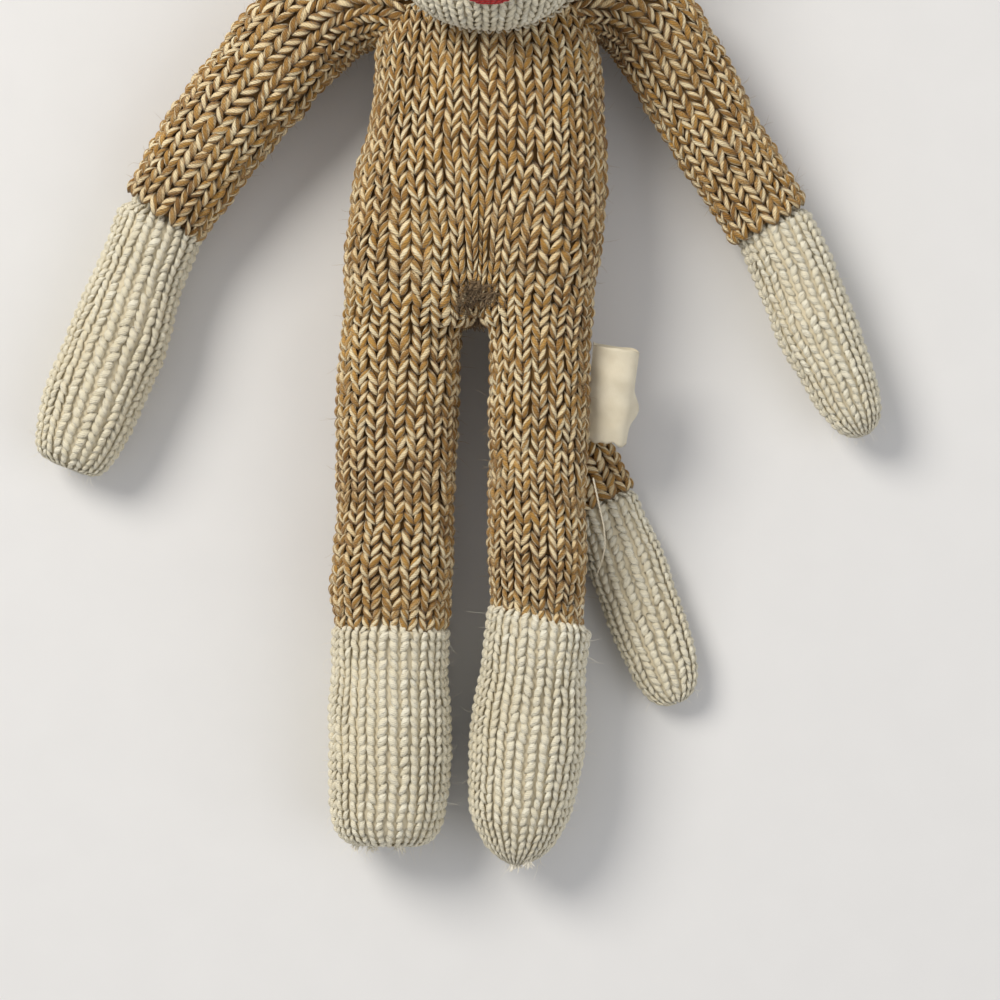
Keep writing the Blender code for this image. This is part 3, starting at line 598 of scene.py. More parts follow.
def skinUnder(name, pts, wraps, sink, look):
    # the closed cloth under the stitches, standing for the knit's inside; it is coloured darker than the yarn as
    # painted shade and shows between the stitches
    inner = pts - normalsOf(pts, wraps) * sink
    rows, cols = inner.shape[:2]
    ring = cols - 1 if wraps else cols
    work = bmesh.new()
    verts = [[work.verts.new(inner[j, i]) for i in range(ring)] for j in range(rows)]
    for j in range(rows - 1):
        for i in range(ring):
            k = (i + 1) % ring
            work.faces.new((verts[j][i], verts[j][k], verts[j + 1][k], verts[j + 1][i]))
    for j in (0, rows - 1):
        middle = work.verts.new(inner[j].mean(0))
        for i in range(ring):
            work.faces.new((verts[j][i], verts[j][(i + 1) % ring], middle))
    bmesh.ops.remove_doubles(work, verts=work.verts, dist=0.00002)
    bmesh.ops.dissolve_degenerate(work, edges=work.edges, dist=0.00001)
    mesh = bpy.data.meshes.new(name)
    closed(work, mesh, look)
    settle(mesh)
    return placed(name, mesh)


# Yarn and its finishes

def newLook(name, rough, sheen=0.25):
    look = bpy.data.materials.new(name)
    look.use_nodes = True
    shader = look.node_tree.nodes["Principled BSDF"]
    for key, value in (("Roughness", rough), ("Sheen Weight", sheen), ("Sheen Roughness", 0.5), ("Specular IOR Level", 0.25)):
        shader.inputs[key].default_value = value
    return look, Tree(look.node_tree), shader.inputs


def grain(t, scale, detail=3.0):
    # unevenness that stays with the piece
    return t.get("ShaderNodeTexNoise", {"Vector": t.get("ShaderNodeTexCoord", output=3), "Scale": scale, "Detail": detail})


def mixed(t, share, a, b, blend="MIX"):
    return t.get("ShaderNodeMix", {0: share, 6: a, 7: b}, 2, data_type="RGBA", blend_type=blend)


def shaded(t, colour, shade):
    tone = t.get("ShaderNodeCombineColor", {0: shade, 1: shade, 2: shade})
    return mixed(t, 1.0, colour, tone, "MULTIPLY")


def dress(t, slots, colour, height, strength, distance):
    t.into(slots["Base Color"], colour)
    t.into(slots["Normal"], t.get("ShaderNodeBump", {"Strength": strength, "Distance": distance, "Height": height}))


def twistedYarnGroup():
    # the plies wound round each other on every leg of a stitch, and the fibres along them
    tree = bpy.data.node_groups.new("twistedYarn", "ShaderNodeTree")
    for label, kind, value in (
        ("Ply", "Vector", (0, 0, 0)), ("Cell", "Vector", (0, 0, 0)), ("Twist", "Float", 0.4), ("Drift", "Float", 1.0),
        ("Zones", "Float", 0.5), ("Second Ply", "Float", 0.5), ("Plies", "Float", 1.0),
    ):
        tree.interface.new_socket(label, in_out="INPUT", socket_type="NodeSocket" + kind).default_value = value
    for label in ("Mask", "Groove", "Fibre", "Hollow", "Strand", "Luck"):
        tree.interface.new_socket(label, in_out="OUTPUT", socket_type="NodeSocketFloat")
    t = Tree(tree)
    given = t.given()
    ply, cell = t.parts(given["Ply"]), t.parts(given["Cell"])
    leg = ply[0].maths("GREATER_THAN", 1.5)
    along = ply[0] - leg * 2.0
    place = t.xyz(cell[0] * 0.33, cell[1] * 0.61, leg * 3.3)
    drift = t.get("ShaderNodeTexNoise", {"Vector": place, "Scale": 1.0, "Detail": 2.0, "Roughness": 0.6}) - 0.5
    own = t.get("ShaderNodeTexWhiteNoise", {"Vector": t.vector("ADD", place, (0.5, 0.5, 7.7))}, noise_dimensions="3D")
    wound = ply[1] + leg * 0.08 + along * given["Twist"]
    phase = drift * given["Drift"] + (own * 0.40 - 0.15)
    wave = ((wound + phase) * given["Plies"] * tau).maths("SINE")
    strands = ply[1] * 4.0 + along * 7.0
    # stripes along the strands of each ply; yarnLook paints the lines between them darker as painted shade, and they
    # also drive the bump
    strand = (strands * tau).maths("SINE") * 0.5 + 0.5
    fibre = t.get("ShaderNodeTexNoise", {
        "Vector": t.xyz(along * 1.6, strands * 3.0, own * 37.0), "Scale": 2.2, "Detail": 3.0, "Roughness": 0.65})
    edge = 1.0 - (given["Second Ply"] + drift * given["Zones"]) * 2.0
    mask = t.ramp(wave + (fibre - 0.5) * 2.2, edge - 0.30, edge + 0.30, curve="SMOOTHSTEP")
    # the line where the two plies meet; yarnLook paints the yarn darker along it as painted shade in the groove, and
    # it also drives the bump
    groove = ((wave - edge).maths("ABSOLUTE") * 2.2).maths("MINIMUM", 1.0)
    # the ends of each leg, where it tucks under its neighbours; yarnLook paints the yarn darker there as painted shade
    hollow = t.ramp(along * (1.0 - along) * 4.0, 0.0, 0.85, curve="SMOOTHSTEP")
    t.add("NodeGroupOutput", dict(enumerate((mask, groove, fibre, hollow, strand, own))))
    return tree


def yarnLook(name, v):
    look, t, slots = newLook(name, 0.92, v["sheen"])
    cell = t.get("ShaderNodeAttribute", output=1, attribute_name="cell")
    mask, groove, fibre, hollow, strand, own = t.add("ShaderNodeGroup", {
        "Ply": t.get("ShaderNodeUVMap", uv_map="ply"), "Cell": cell, "Twist": v["twist"], "Drift": v["drift"],
        "Zones": v["zones"], "Second Ply": v["second"], "Plies": v["plies"]}, node_tree=yarnGroup)
    patch = t.ramp(grain(t, v["patchScale"], 2.0), 0.32, 0.68)
    first = mixed(t, (patch + t.parts(cell)[2]) * 0.5, v["firstDark"], v["firstLight"])
    second = mixed(t, (patch + own) * 0.5, v["secondDark"], v["secondLight"])
    streak = t.ramp(fibre, 0.3, 0.7, v["streakLow"], v["streakHigh"])
    # painted shade at the ends of each leg
    deep = t.ramp(hollow, 0.0, 1.0, v["hollowDark"])
    # painted shade in the groove where the plies meet
    paintedPlyGrooveShade = t.ramp(groove, 0.0, 1.0, v["grooveDark"])
    # painted shade in the fine grooves between strands
    paintedStrandShade = t.ramp(strand, 0.0, 0.6, v["strandDark"])
    colour = shaded(t, mixed(t, mask, first, second), streak * deep * (paintedPlyGrooveShade * paintedStrandShade))
    dress(t, slots, colour, groove * 0.6 + (fibre * 0.4 + strand * 0.4), v["bump"], 0.0003)
    return look


def clothLook(name, dark, light, scale=900.0):
    look, t, slots = newLook(name, 0.95, 0.1)
    fibre = grain(t, scale)
    dress(t, slots, mixed(t, fibre, dark, light), fibre, 0.5, 0.0002)
    return look


def threadLook(name, dark, light, turns, rough=0.85):
    # a plain twisted thread: its plies wind round it as fine slanting grooves, painted darker along them as painted
    # shade
    look, t, slots = newLook(name, rough, 0.2)
    ply = t.parts(t.get("ShaderNodeUVMap", uv_map="ply"))
    wave = ((ply[0] * turns + ply[1] * 2.0) * tau).maths("SINE") * 0.5 + 0.5
    fibre = grain(t, 2600.0)
    dress(t, slots, mixed(t, (wave.maths("POWER", 0.6) + fibre) * 0.6, dark, light), wave + fibre * 0.4, 0.7, 0.0002)
    return look


def satinLook(v):
    look, t, slots = newLook("satin", 0.55, 0.05)
    ply = t.parts(t.get("ShaderNodeUVMap", uv_map="ply"))
    weave, cross = ((ply[k] * (tau * v["threads"][k])).maths("SINE") for k in (1, 0))
    base = mixed(t, grain(t, 260.0), v["dark"], v["light"])
    dress(t, slots, shaded(t, base, t.ramp(weave, -1.0, 1.0, 0.94)), weave * 0.5 + cross * 0.25, 0.25, 0.0001)
    return look


def buttonLook():
    look, t, slots = newLook("button_black", 0.12, 0.0)
    scuffs = grain(t, 1500.0, 4.0)
    t.into(slots["Base Color"], mixed(t, scuffs, (0.004, 0.004, 0.004, 1), (0.014, 0.013, 0.013, 1)))
    t.into(slots["Roughness"], t.ramp(scuffs, 0.4, 0.75, 0.10, 0.34))
    return look


marlYarn = {
    "twist": 0.34, "drift": 0.8, "zones": 1.3, "second": 0.42, "plies": 2.0, "patchScale": 55.0, "sheen": 0.2,
    "firstDark": (0.215, 0.097, 0.020, 1), "firstLight": (0.590, 0.320, 0.070, 1),
    "secondDark": (0.860, 0.625, 0.310, 1), "secondLight": (1.0, 0.870, 0.570, 1),
    "streakLow": 0.68, "streakHigh": 1.34, "hollowDark": 0.52, "grooveDark": 0.72, "strandDark": 0.80, "bump": 0.9,
}
creamYarn = {
    "twist": 0.7, "drift": 1.0, "zones": 0.0, "second": 0.5, "plies": 1.0, "patchScale": 40.0, "sheen": 0.3,
    "firstDark": (0.860, 0.770, 0.550, 1), "firstLight": (0.960, 0.890, 0.690, 1),
    "secondDark": (0.900, 0.810, 0.600, 1), "secondLight": (1.0, 0.960, 0.790, 1),
    "streakLow": 0.90, "streakHigh": 1.06, "hollowDark": 0.78, "grooveDark": 0.95, "strandDark": 0.88, "bump": 0.8,
}
yarnGroup = twistedYarnGroup()
marl, cream = yarnLook("marl", marlYarn), yarnLook("cream", creamYarn)
# sheets under the stitches, standing for the knit's inside and coloured darker than the yarn as painted shade in the
# gaps between stitches
marlShadeBacking = clothLook("marl_cloth", (0.110, 0.058, 0.016, 1), (0.210, 0.118, 0.036, 1))
creamShadeBacking = clothLook("cream_cloth", (0.62, 0.54, 0.37, 1), (0.76, 0.68, 0.50, 1))
creamThread = threadLook("cream_thread", (0.50, 0.42, 0.28, 1), (0.86, 0.78, 0.60, 1), 26)
redThread = threadLook("red_thread", (0.180, 0.006, 0.008, 1), (0.560, 0.030, 0.028, 1), 9, 0.7)
blackThread = threadLook("black_thread", (0.004, 0.004, 0.005, 1), (0.040, 0.038, 0.040, 1), 7, 0.6)
fuzzLooks = {
    "cream": clothLook("fuzz_cream", (0.80, 0.74, 0.60, 1), (0.95, 0.91, 0.80, 1), 1800.0),
    "marl": clothLook("fuzz_marl", (0.22, 0.13, 0.05, 1), (0.62, 0.50, 0.32, 1)),
}
# near-black strands where the legs part: painted shade in the crease
matted = clothLook("matted", (0.060, 0.036, 0.018, 1), (0.300, 0.205, 0.110, 1), 1300.0)
knitting = knitTree()
stitch, lightStitch, creamStitch = (
    makeStitch(name, shape) for name, shape in (("stitch", stitchShape), ("light_stitch", lightShape), ("cream_stitch", creamShape)))
print("yarn ready")


# Body: each half of the torso runs on into its own leg, as a sock that is slit and sewn

bodyKnit = {
    "columns": 18, "rowHeight": 0.00244, "legRowHeight": 0.00212, "around": 44, "sections": 150, "square": 2.2,
    "sink": 0.0009, "clothSink": 0.0006, "bulge": 0.0005, "lump": 0.016, "seeds": {"left": (2, 11), "right": (5, 23)},
    # places down the body: where it opens at the top, narrows to the legs, is cut and parts
    "openTop": 0.0315, "torsoLow": -0.024, "drawStart": 0.0080, "legStart": -0.0140, "legWhole": -0.0345,
    "cutStart": -0.0170, "crotch": -0.0302, "openEnd": -0.0322, "middle": -0.0022, "slantStart": -0.045,
    # how far each ring of the shoulders is drawn in towards the neck, and where it lies
    "shoulders": ((0.93, 0.0352), (0.83, 0.0374), (0.68, 0.0385), (0.54, 0.0380), (0.42, 0.0368)),
}
# where each brown hem ends, and how its line slants across the leg
hems = {"left": {"at": -0.0922, "middle": -0.0195, "slant": -0.03}, "right": {"at": -0.0900, "middle": 0.0090, "slant": -0.235}}


def hemLine(side, x):
    return hems[side]["at"] + hems[side]["slant"] * (x - hems[side]["middle"])


def hipBend(side):
    x, y, z = jointAt("hip_" + side)
    return {"start": (x, y + 0.008, z), "end": (x, y - 0.006, z)}


def spaced(flank, edge, open, deep, sign, v):
    # the columns set evenly round an oval that is cut open at the seam by an angle
    power = 2 / v["square"]
    wide = abs(flank - edge) / (1 + cos(open) ** power)
    turns = np.linspace(open, tau - open, 900)
    x, _, z = oval(np.zeros(3), eastward, upward, wide, deep, turns, v["square"]).T
    length = np.concatenate([[0], np.cumsum(np.hypot(np.diff(x), np.diff(z)))])
    return flank - sign * wide - sign * np.interp(np.linspace(0, length[-1], v["around"] + 1), length, x)


def sectionOf(flank, edge, legEdge, cut, share, z, deep, sign, v):
    # torso columns pass into leg columns; only those of the leg's inner wall crowd into the seam
    fromSeam = 1 - np.abs(np.linspace(-1, 1, v["around"] + 1))
    torso = spaced(flank, edge, pi / 2, deep, sign, v)
    leg = spaced(flank, legEdge, 0.0, deep, sign, v) + (edge - legEdge) * np.clip(1 - fromSeam / 0.34, 0, 1) ** 1.4
    x = torso + (leg - torso) * share
    wide = abs(flank - edge) / (1 + cos(cut) ** (2 / v["square"]))
    out = np.clip((flank - sign * wide - x) * sign / wide, -1, 1)
    rise = (1 - np.abs(out) ** v["square"]).clip(0) ** (1 / v["square"])
    return x, z + np.sign(np.linspace(1, -1, v["around"] + 1)) * rise * deep


def halfBody(side, sign, v):
    torso = slices(("torso_knit",), np.zeros(3), np.array([0, -1.0, 0]), eastward, upward, np.linspace(-0.030, 0.0240, 28), 1)
    hip, ankle = jointAt("hip_" + side), jointAt("ankle_" + side)
    line = unit(ankle - hip)
    across, up = axesOf(line)
    leg = slices(("leg_" + side,), hip, line, across, up, np.linspace(0.0060, np.linalg.norm(ankle - hip) - 0.0060, 26), 2)
    legMid = hip + np.outer(leg[:, 0], line) + np.outer(leg[:, 1], across) + np.outer(leg[:, 3], up)
    legY = legMid[:, 1]
    slope = (legMid[0] - legMid[-1]) / (legY[0] - legY[-1])

    def legAt(y):
        past = max(0, y - legY[0]) + min(0, y - legY[-1]) # beyond its sections the leg's line runs straight on
        x, z, wide, deep = (np.interp(y, legY[::-1], row[::-1]) for row in (legMid[:, 0], legMid[:, 2], leg[:, 2], leg[:, 4]))
        return x + slope[0] * past, z + slope[2] * past, wide, deep

    last = hems[side]["at"] - 0.0004
    pts = []
    for y in np.linspace(v["openTop"], last, v["sections"]):
        tx, tw, tz, td = (np.interp(-max(y, v["torsoLow"]), torso[:, 0], torso[:, k]) for k in (1, 2, 3, 4))
        lx, lz, lw, ld = legAt(y)
        t = eased((v["legStart"] - y) / (v["legStart"] - v["legWhole"]))
        part = eased((v["crotch"] - y) / (v["crotch"] - v["openEnd"]))
        flank = (tx + sign * tw) * (1 - t) + (lx + sign * lw) * t - sign * v["sink"]
        legEdge = lx - sign * (lw - v["sink"])
        edge = v["middle"] * (1 - part) + legEdge * part
        cut = pi / 2 * (1 - np.clip((v["cutStart"] - y) / (v["cutStart"] - v["crotch"]), 0, 1) ** 2.4)
        share = eased((v["drawStart"] - y) / (v["drawStart"] - v["crotch"]))
        x, z = sectionOf(flank, edge, legEdge, cut, share, tz + (lz - tz) * t, td + (ld - td) * t - v["sink"], sign, v)
        slant = (hemLine(side, x) - hems[side]["at"]) * eased((v["slantStart"] - y) / (v["slantStart"] - last))
        pts.append(np.stack([x, y + slant, z], 1))
    # the top draws in over the shoulders to the neck, as a gathered tube does
    neck, shoulders = jointAt("neck_nod"), []
    for share, y in v["shoulders"]:
        ring = pts[0] + (neck - pts[0]) * share
        ring[:, 1] = y
        shoulders.append(ring)
    return np.array(shoulders + pts)


def joinHalves(left, right, reach=5):
    # both halves share the points of their middle seam
    for a, b in zip(left, right):
        for col in (0, -1):
            gap = a[col] - b[col]
            if abs(gap[0]) > 0.0004:
                continue
            for k in range(reach):
                share = (1 - k / reach) ** 2 / 2
                at = k if col == 0 else -1 - k
                a[at, 1:] -= gap[1:] * share
                b[at, 1:] += gap[1:] * share


halves = {side: halfBody(side, sign, bodyKnit) for side, sign in (("left", -1), ("right", 1))}
joinHalves(halves["left"], halves["right"])
for side, grid in halves.items():
    even, length = evenRows(grid, 100)
    pitch = np.interp(even[:, :, 1].mean(1), (-0.060, -0.025), (bodyKnit["legRowHeight"], bodyKnit["rowHeight"]))
    count = np.concatenate([[0], np.cumsum(length / 99 / pitch[1:])])
    lumpSeed, seed = bodyKnit["seeds"][side]
    grid = halves[side] = lumpy(even, False, bodyKnit["lump"], bodyKnit["bulge"], lumpSeed)
    body = {"stitch": stitch, "yarn": marl, "columns": bodyKnit["columns"], "rows": round(count[-1]), "seed": seed}
    knit = knitOver("body_" + side, grid, False, body, rowAt=count / count[-1])
    skin = skinUnder("body_cloth_" + side, grid[:-2], False, bodyKnit["clothSink"], marlShadeBacking)
    for piece in (knit, skin):
        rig.blend(piece, "torso", "leg_" + side, **hipBend(side))
        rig.slot(piece, "marl")
    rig.replaces(knit, "leg_" + side, "leg_stuffing_" + side, "torso_knit", "torso_stuffing")
    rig.padded(knit)
    print(side, "half", body["rows"], "rows", round(length * 1000), "mm")


# Limbs: sleeves, mitts, feet and tail are tubes of their own, drawn in at the ends

def reachOf(names, start, ahead):
    return ((nodePoints(*names) - start) @ ahead).max()


def limbForm(v, start, ahead):
    # a limb's width never falls below its hem's, and it is drawn in again where the hem before it covers it
    across, up = axesOf(ahead)
    high = reachOf(v["covers"][:1], start, ahead) - (0.0020 if "next" in v else 0.0001)
    if "next" in v:
        runs = np.append(np.linspace(v["full"], high, 50), v["high"])
    else:
        runs = v["full"] + (high - v["full"]) * np.sin(np.linspace(0, pi / 2, 70))
    table = slices(v["covers"][:1], start, ahead, across, up, runs[runs <= high], 3)
    if "next" in v:
        table = np.concatenate([table, table[-1:]])
        table[-1, 0] = v["high"]
    if "hem" in v:
        extra = np.repeat(table[:1], 8, 0)
        extra[:, 0] = np.linspace(v["low"], v["full"], 9)[:-1]
        table = np.concatenate([extra, table])
        for k, least in ((2, v["hem"]), (4, v.get("hemDeep", v["hem"]))):
            early = np.clip((0.012 - table[:, 0]) / 0.006, 0, 1)
            table[:, k] = np.maximum(table[:, k], least * early)
        table = relaxed(table, 4, 1)
    table[:, 2] *= v.get("grow", 1.0)
    share = np.clip((table[:, 0] - table[0, 0]) / (table[-1, 0] - table[0, 0]), 0, 1)
    near, far, bow = v.get("lean", (0, 0, 0))
    table[:, 1] += near + (far - near) * share + bow * np.sin(share * pi)
    table[:, 2] += (table[:, 2].max() - table[:, 2]) * v.get("blunt", 0) * eased((share - 0.6) / 0.35)
    angles = np.linspace(0, tau, 49) - pi / 2
    pts = []
    if "root" in v: # the sleeve's root turns in and goes into the body's side
        run, x, wide, z, deep = table[0]
        goal = start + ahead * run + across * x + up * z
        begin, bend = (np.array(p) for p in v["root"])
        for s in np.linspace(0, 1, 22)[:-1]:
            side, top = axesOf(unit((bend - begin) * (1 - s) + (goal - bend) * s))
            size = eased(s * 1.2)
            pts.append(oval(begin * (1 - s) ** 2 + bend * 2 * s * (1 - s) + goal * s**2, side, top,
                            (wide - v["sink"]) * (0.80 + 0.20 * size), (deep - v["sink"]) * (0.90 + 0.10 * size), angles, 2.1))
    for run, x, wide, z, deep in table:
        pts.append(oval(start + ahead * run + across * x + up * z, across, up,
                        max(wide - v["sink"], 0.0012), max(deep - v["sink"], 0.0012), angles, 2.1))
    if "next" not in v:
        tip = pts[-1].mean(0) + ahead * 0.0002
        pts += [tip + (pts[-1] - tip) * share for share in (0.62, 0.30, 0.08)]
    pts = np.array(pts)
    pts[:, -1] = pts[:, 0]
    even, length = evenRows(pts, 90)
    even = lumpy(relaxed(even, 4), True, 0.014, 0.0004, v["seed"])
    if "tuck" in v:
        under = even[:, :, 1] - hemLine(v["side"], even[:, :, 0]) if "side" in v else v["hemRun"] - (even - start) @ ahead
        middle = even.mean(1, keepdims=True)
        spoke = even - middle
        inside = eased(under / 0.0016) * v["tuck"]
        even = middle + spoke * (1 - inside / np.linalg.norm(spoke, axis=2))[:, :, None]
    return even, length


def knitTube(v):
    start = jointAt(v["joint"])
    ahead = unit((jointAt(v["next"]) if "next" in v else farEnd(start, v["covers"][0])) - start)
    v["grid"], length = limbForm(v, start, ahead)
    v["rows"] = max(4, round(length / v["rowHeight"]))
    v["bend"] = {key: tuple(start + ahead * run) for key, run in zip(("start", "end"), v["bend"])}
    knit = knitOver(v["name"], v["grid"], True, v)
    skin = skinUnder(v["name"] + "_cloth", v["grid"][:-2] if "next" in v else v["grid"], True, 0.0006, v["cloth"])
    for piece in (knit, skin):
        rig.blend(piece, *v["bodies"], **v["bend"])
        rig.slot(piece, v["slot"])
    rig.replaces(knit, *v["covers"])
    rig.padded(knit)
    print(v["name"], v["rows"], "rows of", v["columns"])


creamKnit = {"yarn": cream, "cloth": creamShadeBacking, "slot": "cream", "stitch": creamStitch, "sink": 0.0008, "tuck": 0.0019, "waver": 0.22, "loose": 0.035}
marlKnit = {"yarn": marl, "cloth": marlShadeBacking, "slot": "marl", "stitch": stitch, "sink": 0.0010}
# lean: how far the limb's line is moved across at its start, at its end and between them
limbSizes = {
    "left": {
        "wristHem": -0.0028, "foot": {"columns": 18, "hem": 0.0124, "blunt": 0.30, "seed": 31},
        "mitt": {"columns": 13, "hem": 0.0087, "blunt": 0.45, "seed": 32, "grow": 1.05, "lean": (0.0014, 0.0012, 0.0)},
        "sleeve": {"seed": 33, "sink": 0.0, "lean": (0.0020, 0.0026, 0.0010), "root": ((-0.0155, 0.0318, 0.0145), (-0.0285, 0.0372, 0.0140))},
    },
    "right": {
        "wristHem": -0.0030, "foot": {"columns": 17, "hem": 0.0112, "seed": 43},
        "mitt": {"columns": 12, "hem": 0.0082, "seed": 44, "lean": (0, -0.0004, 0)},
        "sleeve": {"seed": 45, "sink": 0.0006, "root": ((0.0145, 0.0318, 0.0145), (0.0275, 0.0372, 0.0140))},
    },
}
tailReach = np.linalg.norm(jointAt("tail_bend") - jointAt("tail_swing"))
limbs = {}
for side, size in limbSizes.items():
    reach = np.linalg.norm(jointAt("wrist_" + side) - jointAt("shoulder_" + side)) + size["wristHem"]
    limbs["foot_knit_" + side] = creamKnit | size["foot"] | {
        "joint": "ankle_" + side, "bodies": ("leg_" + side, "foot_" + side), "covers": ("foot_" + side, "foot_stuffing_" + side),
        "side": side, "low": -0.0100, "full": 0.0025, "rowHeight": 0.00196, "bend": (-0.0045, 0.006)}
    limbs["mitt_knit_" + side] = creamKnit | size["mitt"] | {
        "joint": "wrist_" + side, "bodies": ("arm_" + side, "hand_" + side), "covers": ("mitt_" + side, "mitt_stuffing_" + side),
        "hemRun": size["wristHem"], "low": -0.0075, "full": 0.0020, "rowHeight": 0.00188, "bend": (-0.0035, 0.006), "sink": 0.0004, "waver": 0.2}
    limbs["sleeve_knit_" + side] = marlKnit | size["sleeve"] | {
        "joint": "shoulder_" + side, "next": "wrist_" + side, "bodies": ("torso", "arm_" + side),
        "covers": ("sleeve_" + side, "sleeve_stuffing_" + side), "full": 0.0100, "high": reach - 0.0004,
        "columns": 15, "rowHeight": 0.00230, "bend": (0.001, 0.013)}
limbs["tail_root_knit"] = marlKnit | {
    "joint": "tail_swing", "next": "tail_bend", "bodies": ("torso", "tail"), "covers": ("tail_knit", "tail_stuffing"), "columns": 10,
    "full": -0.0010, "high": tailReach - 0.0014, "rowHeight": 0.00200, "seed": 59, "bend": (0.002, 0.010), "sink": 0.0004, "grow": 1.2,
    "lean": (0.0008, 0.0002, 0)}
limbs["tail_end_knit"] = creamKnit | {
    "joint": "tail_bend", "bodies": ("tail", "tail_tip"), "covers": ("tail_tip_knit", "tail_tip_stuffing"), "columns": 10, "low": -0.0042,
    "full": 0.0020, "hem": 0.0060, "hemDeep": 0.0040, "hemRun": -0.0014, "rowHeight": 0.00180, "seed": 61, "bend": (-0.001, 0.007),
    "sink": 0.0, "tuck": 0.0017, "grow": 1.14, "lean": (0, -0.0008, 0)}
for name, v in limbs.items():
    v["name"] = name
    knitTube(v)


# Head: a marl tube with a cream crown, and the muzzle patch sewn on in front

headKnit = {
    "low": 0.0015, "crownAt": 0.0410, "overlap": (0.0012, 0.0016), "sink": 0.0005, "columns": 31, "rowHeight": 0.0022,
    "crownRowHeight": 0.0019, "seed": 73,
}
headAhead = unit((0, 0.906308, 0.422618))
headUp = unit(np.cross(eastward, headAhead))
neckAt = jointAt("neck_turn")


def headForm(v):
    names = ("head_knit", "crown_knit")
    high = reachOf(names, neckAt, headAhead) - 0.00005
    runs = (v["low"] + high) / 2 + (high - v["low"]) / 2 * np.sin(np.linspace(-1, 1, 90) * pi / 2)
    angles = np.linspace(0, tau, 73) - pi / 2
    pts = np.array([oval(neckAt + headAhead * run + eastward * x + headUp * z, eastward, headUp, wide - v["sink"], deep - v["sink"], angles, 2.0)
                    for run, x, wide, z, deep in slices(names, neckAt, headAhead, eastward, headUp, runs, 3)])
    pts[:, -1] = pts[:, 0]
    return lumpy(evenRows(relaxed(pts, 4), 120)[0], True, 0.018, 0.0003, 71)


headPts = headForm(headKnit)
past = (headPts.mean(1) - neckAt) @ headAhead - headKnit["crownAt"]
for name, part, knitLike, rowHeight, covers in (
    ("head_marl", headPts[past <= headKnit["overlap"][0]], dict(marlKnit, stitch=lightStitch), headKnit["rowHeight"], ("head_knit", "head_stuffing")),
    ("crown_cream", headPts[past >= -headKnit["overlap"][1]], creamKnit, headKnit["crownRowHeight"], ("crown_knit",)),
):
    even, length = evenRows(part, 70)
    v = dict(knitLike, seed=headKnit["seed"], columns=headKnit["columns"], rows=round(length / rowHeight))
    knit = knitOver(name, even, True, v)
    onBody("head", v["slot"], knit)
    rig.replaces(knit, *covers)
    if name == "head_marl":
        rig.padded(knit)
onBody("head", "marl", skinUnder("head_cloth", headPts, True, 0.0006, marlShadeBacking))

muzzleKnit = {
    "yarn": cream, "stitch": lightStitch, "columns": 21, "rows": 26, "seed": 83, "waver": 0.15, "loose": 0.04,
    "rings": 36, "sides": 72, "past": math.radians(116), "sink": 0.0004, "margin": 0.93, "tall": 1.03, "lower": (0, -0.0011, -0.0002),
}


def makeMuzzle(v):
    # a dome mapped by arc length from its front, so that the ribs run straight up it and the edge cuts them
    pts = nodePoints("muzzle_knit") - neckAt
    x, y, z = pts @ eastward, pts @ headAhead, pts @ headUp
    wideAt = z[np.argmax(np.abs(x))]
    middle = neckAt + eastward * (x.max() + x.min()) / 2 + headAhead * (y.max() + y.min()) / 2 + headUp * wideAt + np.array(v["lower"])
    wide, tall, deep = (h - v["sink"] for h in ((x.max() - x.min()) / 2, (y.max() - y.min()) / 2, z.max() - wideAt))
    tall *= v["tall"]
    turns = np.linspace(0, tau, v["sides"] + 1)
    x, y = np.cos(turns), np.sin(turns)
    pts, knitMap, kept = [], [], []
    for j in range(v["rings"] + 1):
        share = max(j / v["rings"], 0.0005)
        lean = v["past"] * share
        pts.append(middle + np.outer(x * sin(lean) * wide, eastward) + np.outer(y * sin(lean) * tall, headAhead) + headUp * (cos(lean) * deep))
        knitMap.append(np.stack([0.5 + x * share / 2, 0.5 - y * share / 2], 1))
        kept.append(np.full(v["sides"] + 1, 1.0 if share < v["margin"] else 0.0))
    pts = np.array(pts)
    pts[:, -1] = pts[:, 0]
    v["width"] = wide * v["past"] * 1.43 / v["columns"]
    knit = knitOver("muzzle_knitting", pts, True, v, knitMap=np.array(knitMap), kept=np.concatenate(kept), gauge=1.0)
    onBody("head", "cream", knit, skinUnder("muzzle_cloth", pts, True, 0.0004, creamShadeBacking))
    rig.replaces(knit, "muzzle_knit", "muzzle_stuffing")
    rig.padded(knit)
    return middle, (wide, tall, deep)


muzzleAt, muzzleHalves = makeMuzzle(muzzleKnit)
print("head ready")


# Details: neck, ears, face and label

def marlOn(kind, side, body, covers, grid, v):
    knit = knitOver(kind + "_knit" + side, grid, True, v | {"stitch": lightStitch, "yarn": marl})
    onBody(body, "marl", knit, skinUnder(kind + "_cloth" + side, grid, True, 0.0004, marlShadeBacking))
    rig.replaces(knit, covers)
    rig.padded(knit)


def neckGather():
    # the drawn-in end of the sock between head and shoulders, and the thread wound round it
    wides = (0.0056, 0.0061, 0.0063, 0.0062, 0.0063, 0.0061, 0.0056)
    rings = [oval(neckAt + (0, run, 0), eastward, upward, wide, wide, np.linspace(0, tau, 25))
             for run, wide in zip(np.linspace(-0.0075, 0.0075, 7), wides)]
    marlOn("neck", "", "neck", "neck_stuffing", evenRows(np.array(rings), 20)[0], {"columns": 20, "rows": 8, "seed": 91})
    reach = np.linalg.norm((nodePoints("neck_thread") - neckAt)[:, [0, 2]], axis=1).mean()
    wound = [neckAt + (cos(a) * reach, rise, sin(a) * reach)
             for a, rise in zip(np.linspace(0, tau * 3, 120), np.linspace(-0.0009, 0.0009, 120))]
    tie = strandMesh("neck_tie", [wound], 0.00042, creamThread)
    onBody("torso", "thread", tie)
    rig.replaces(tie, "neck_thread")


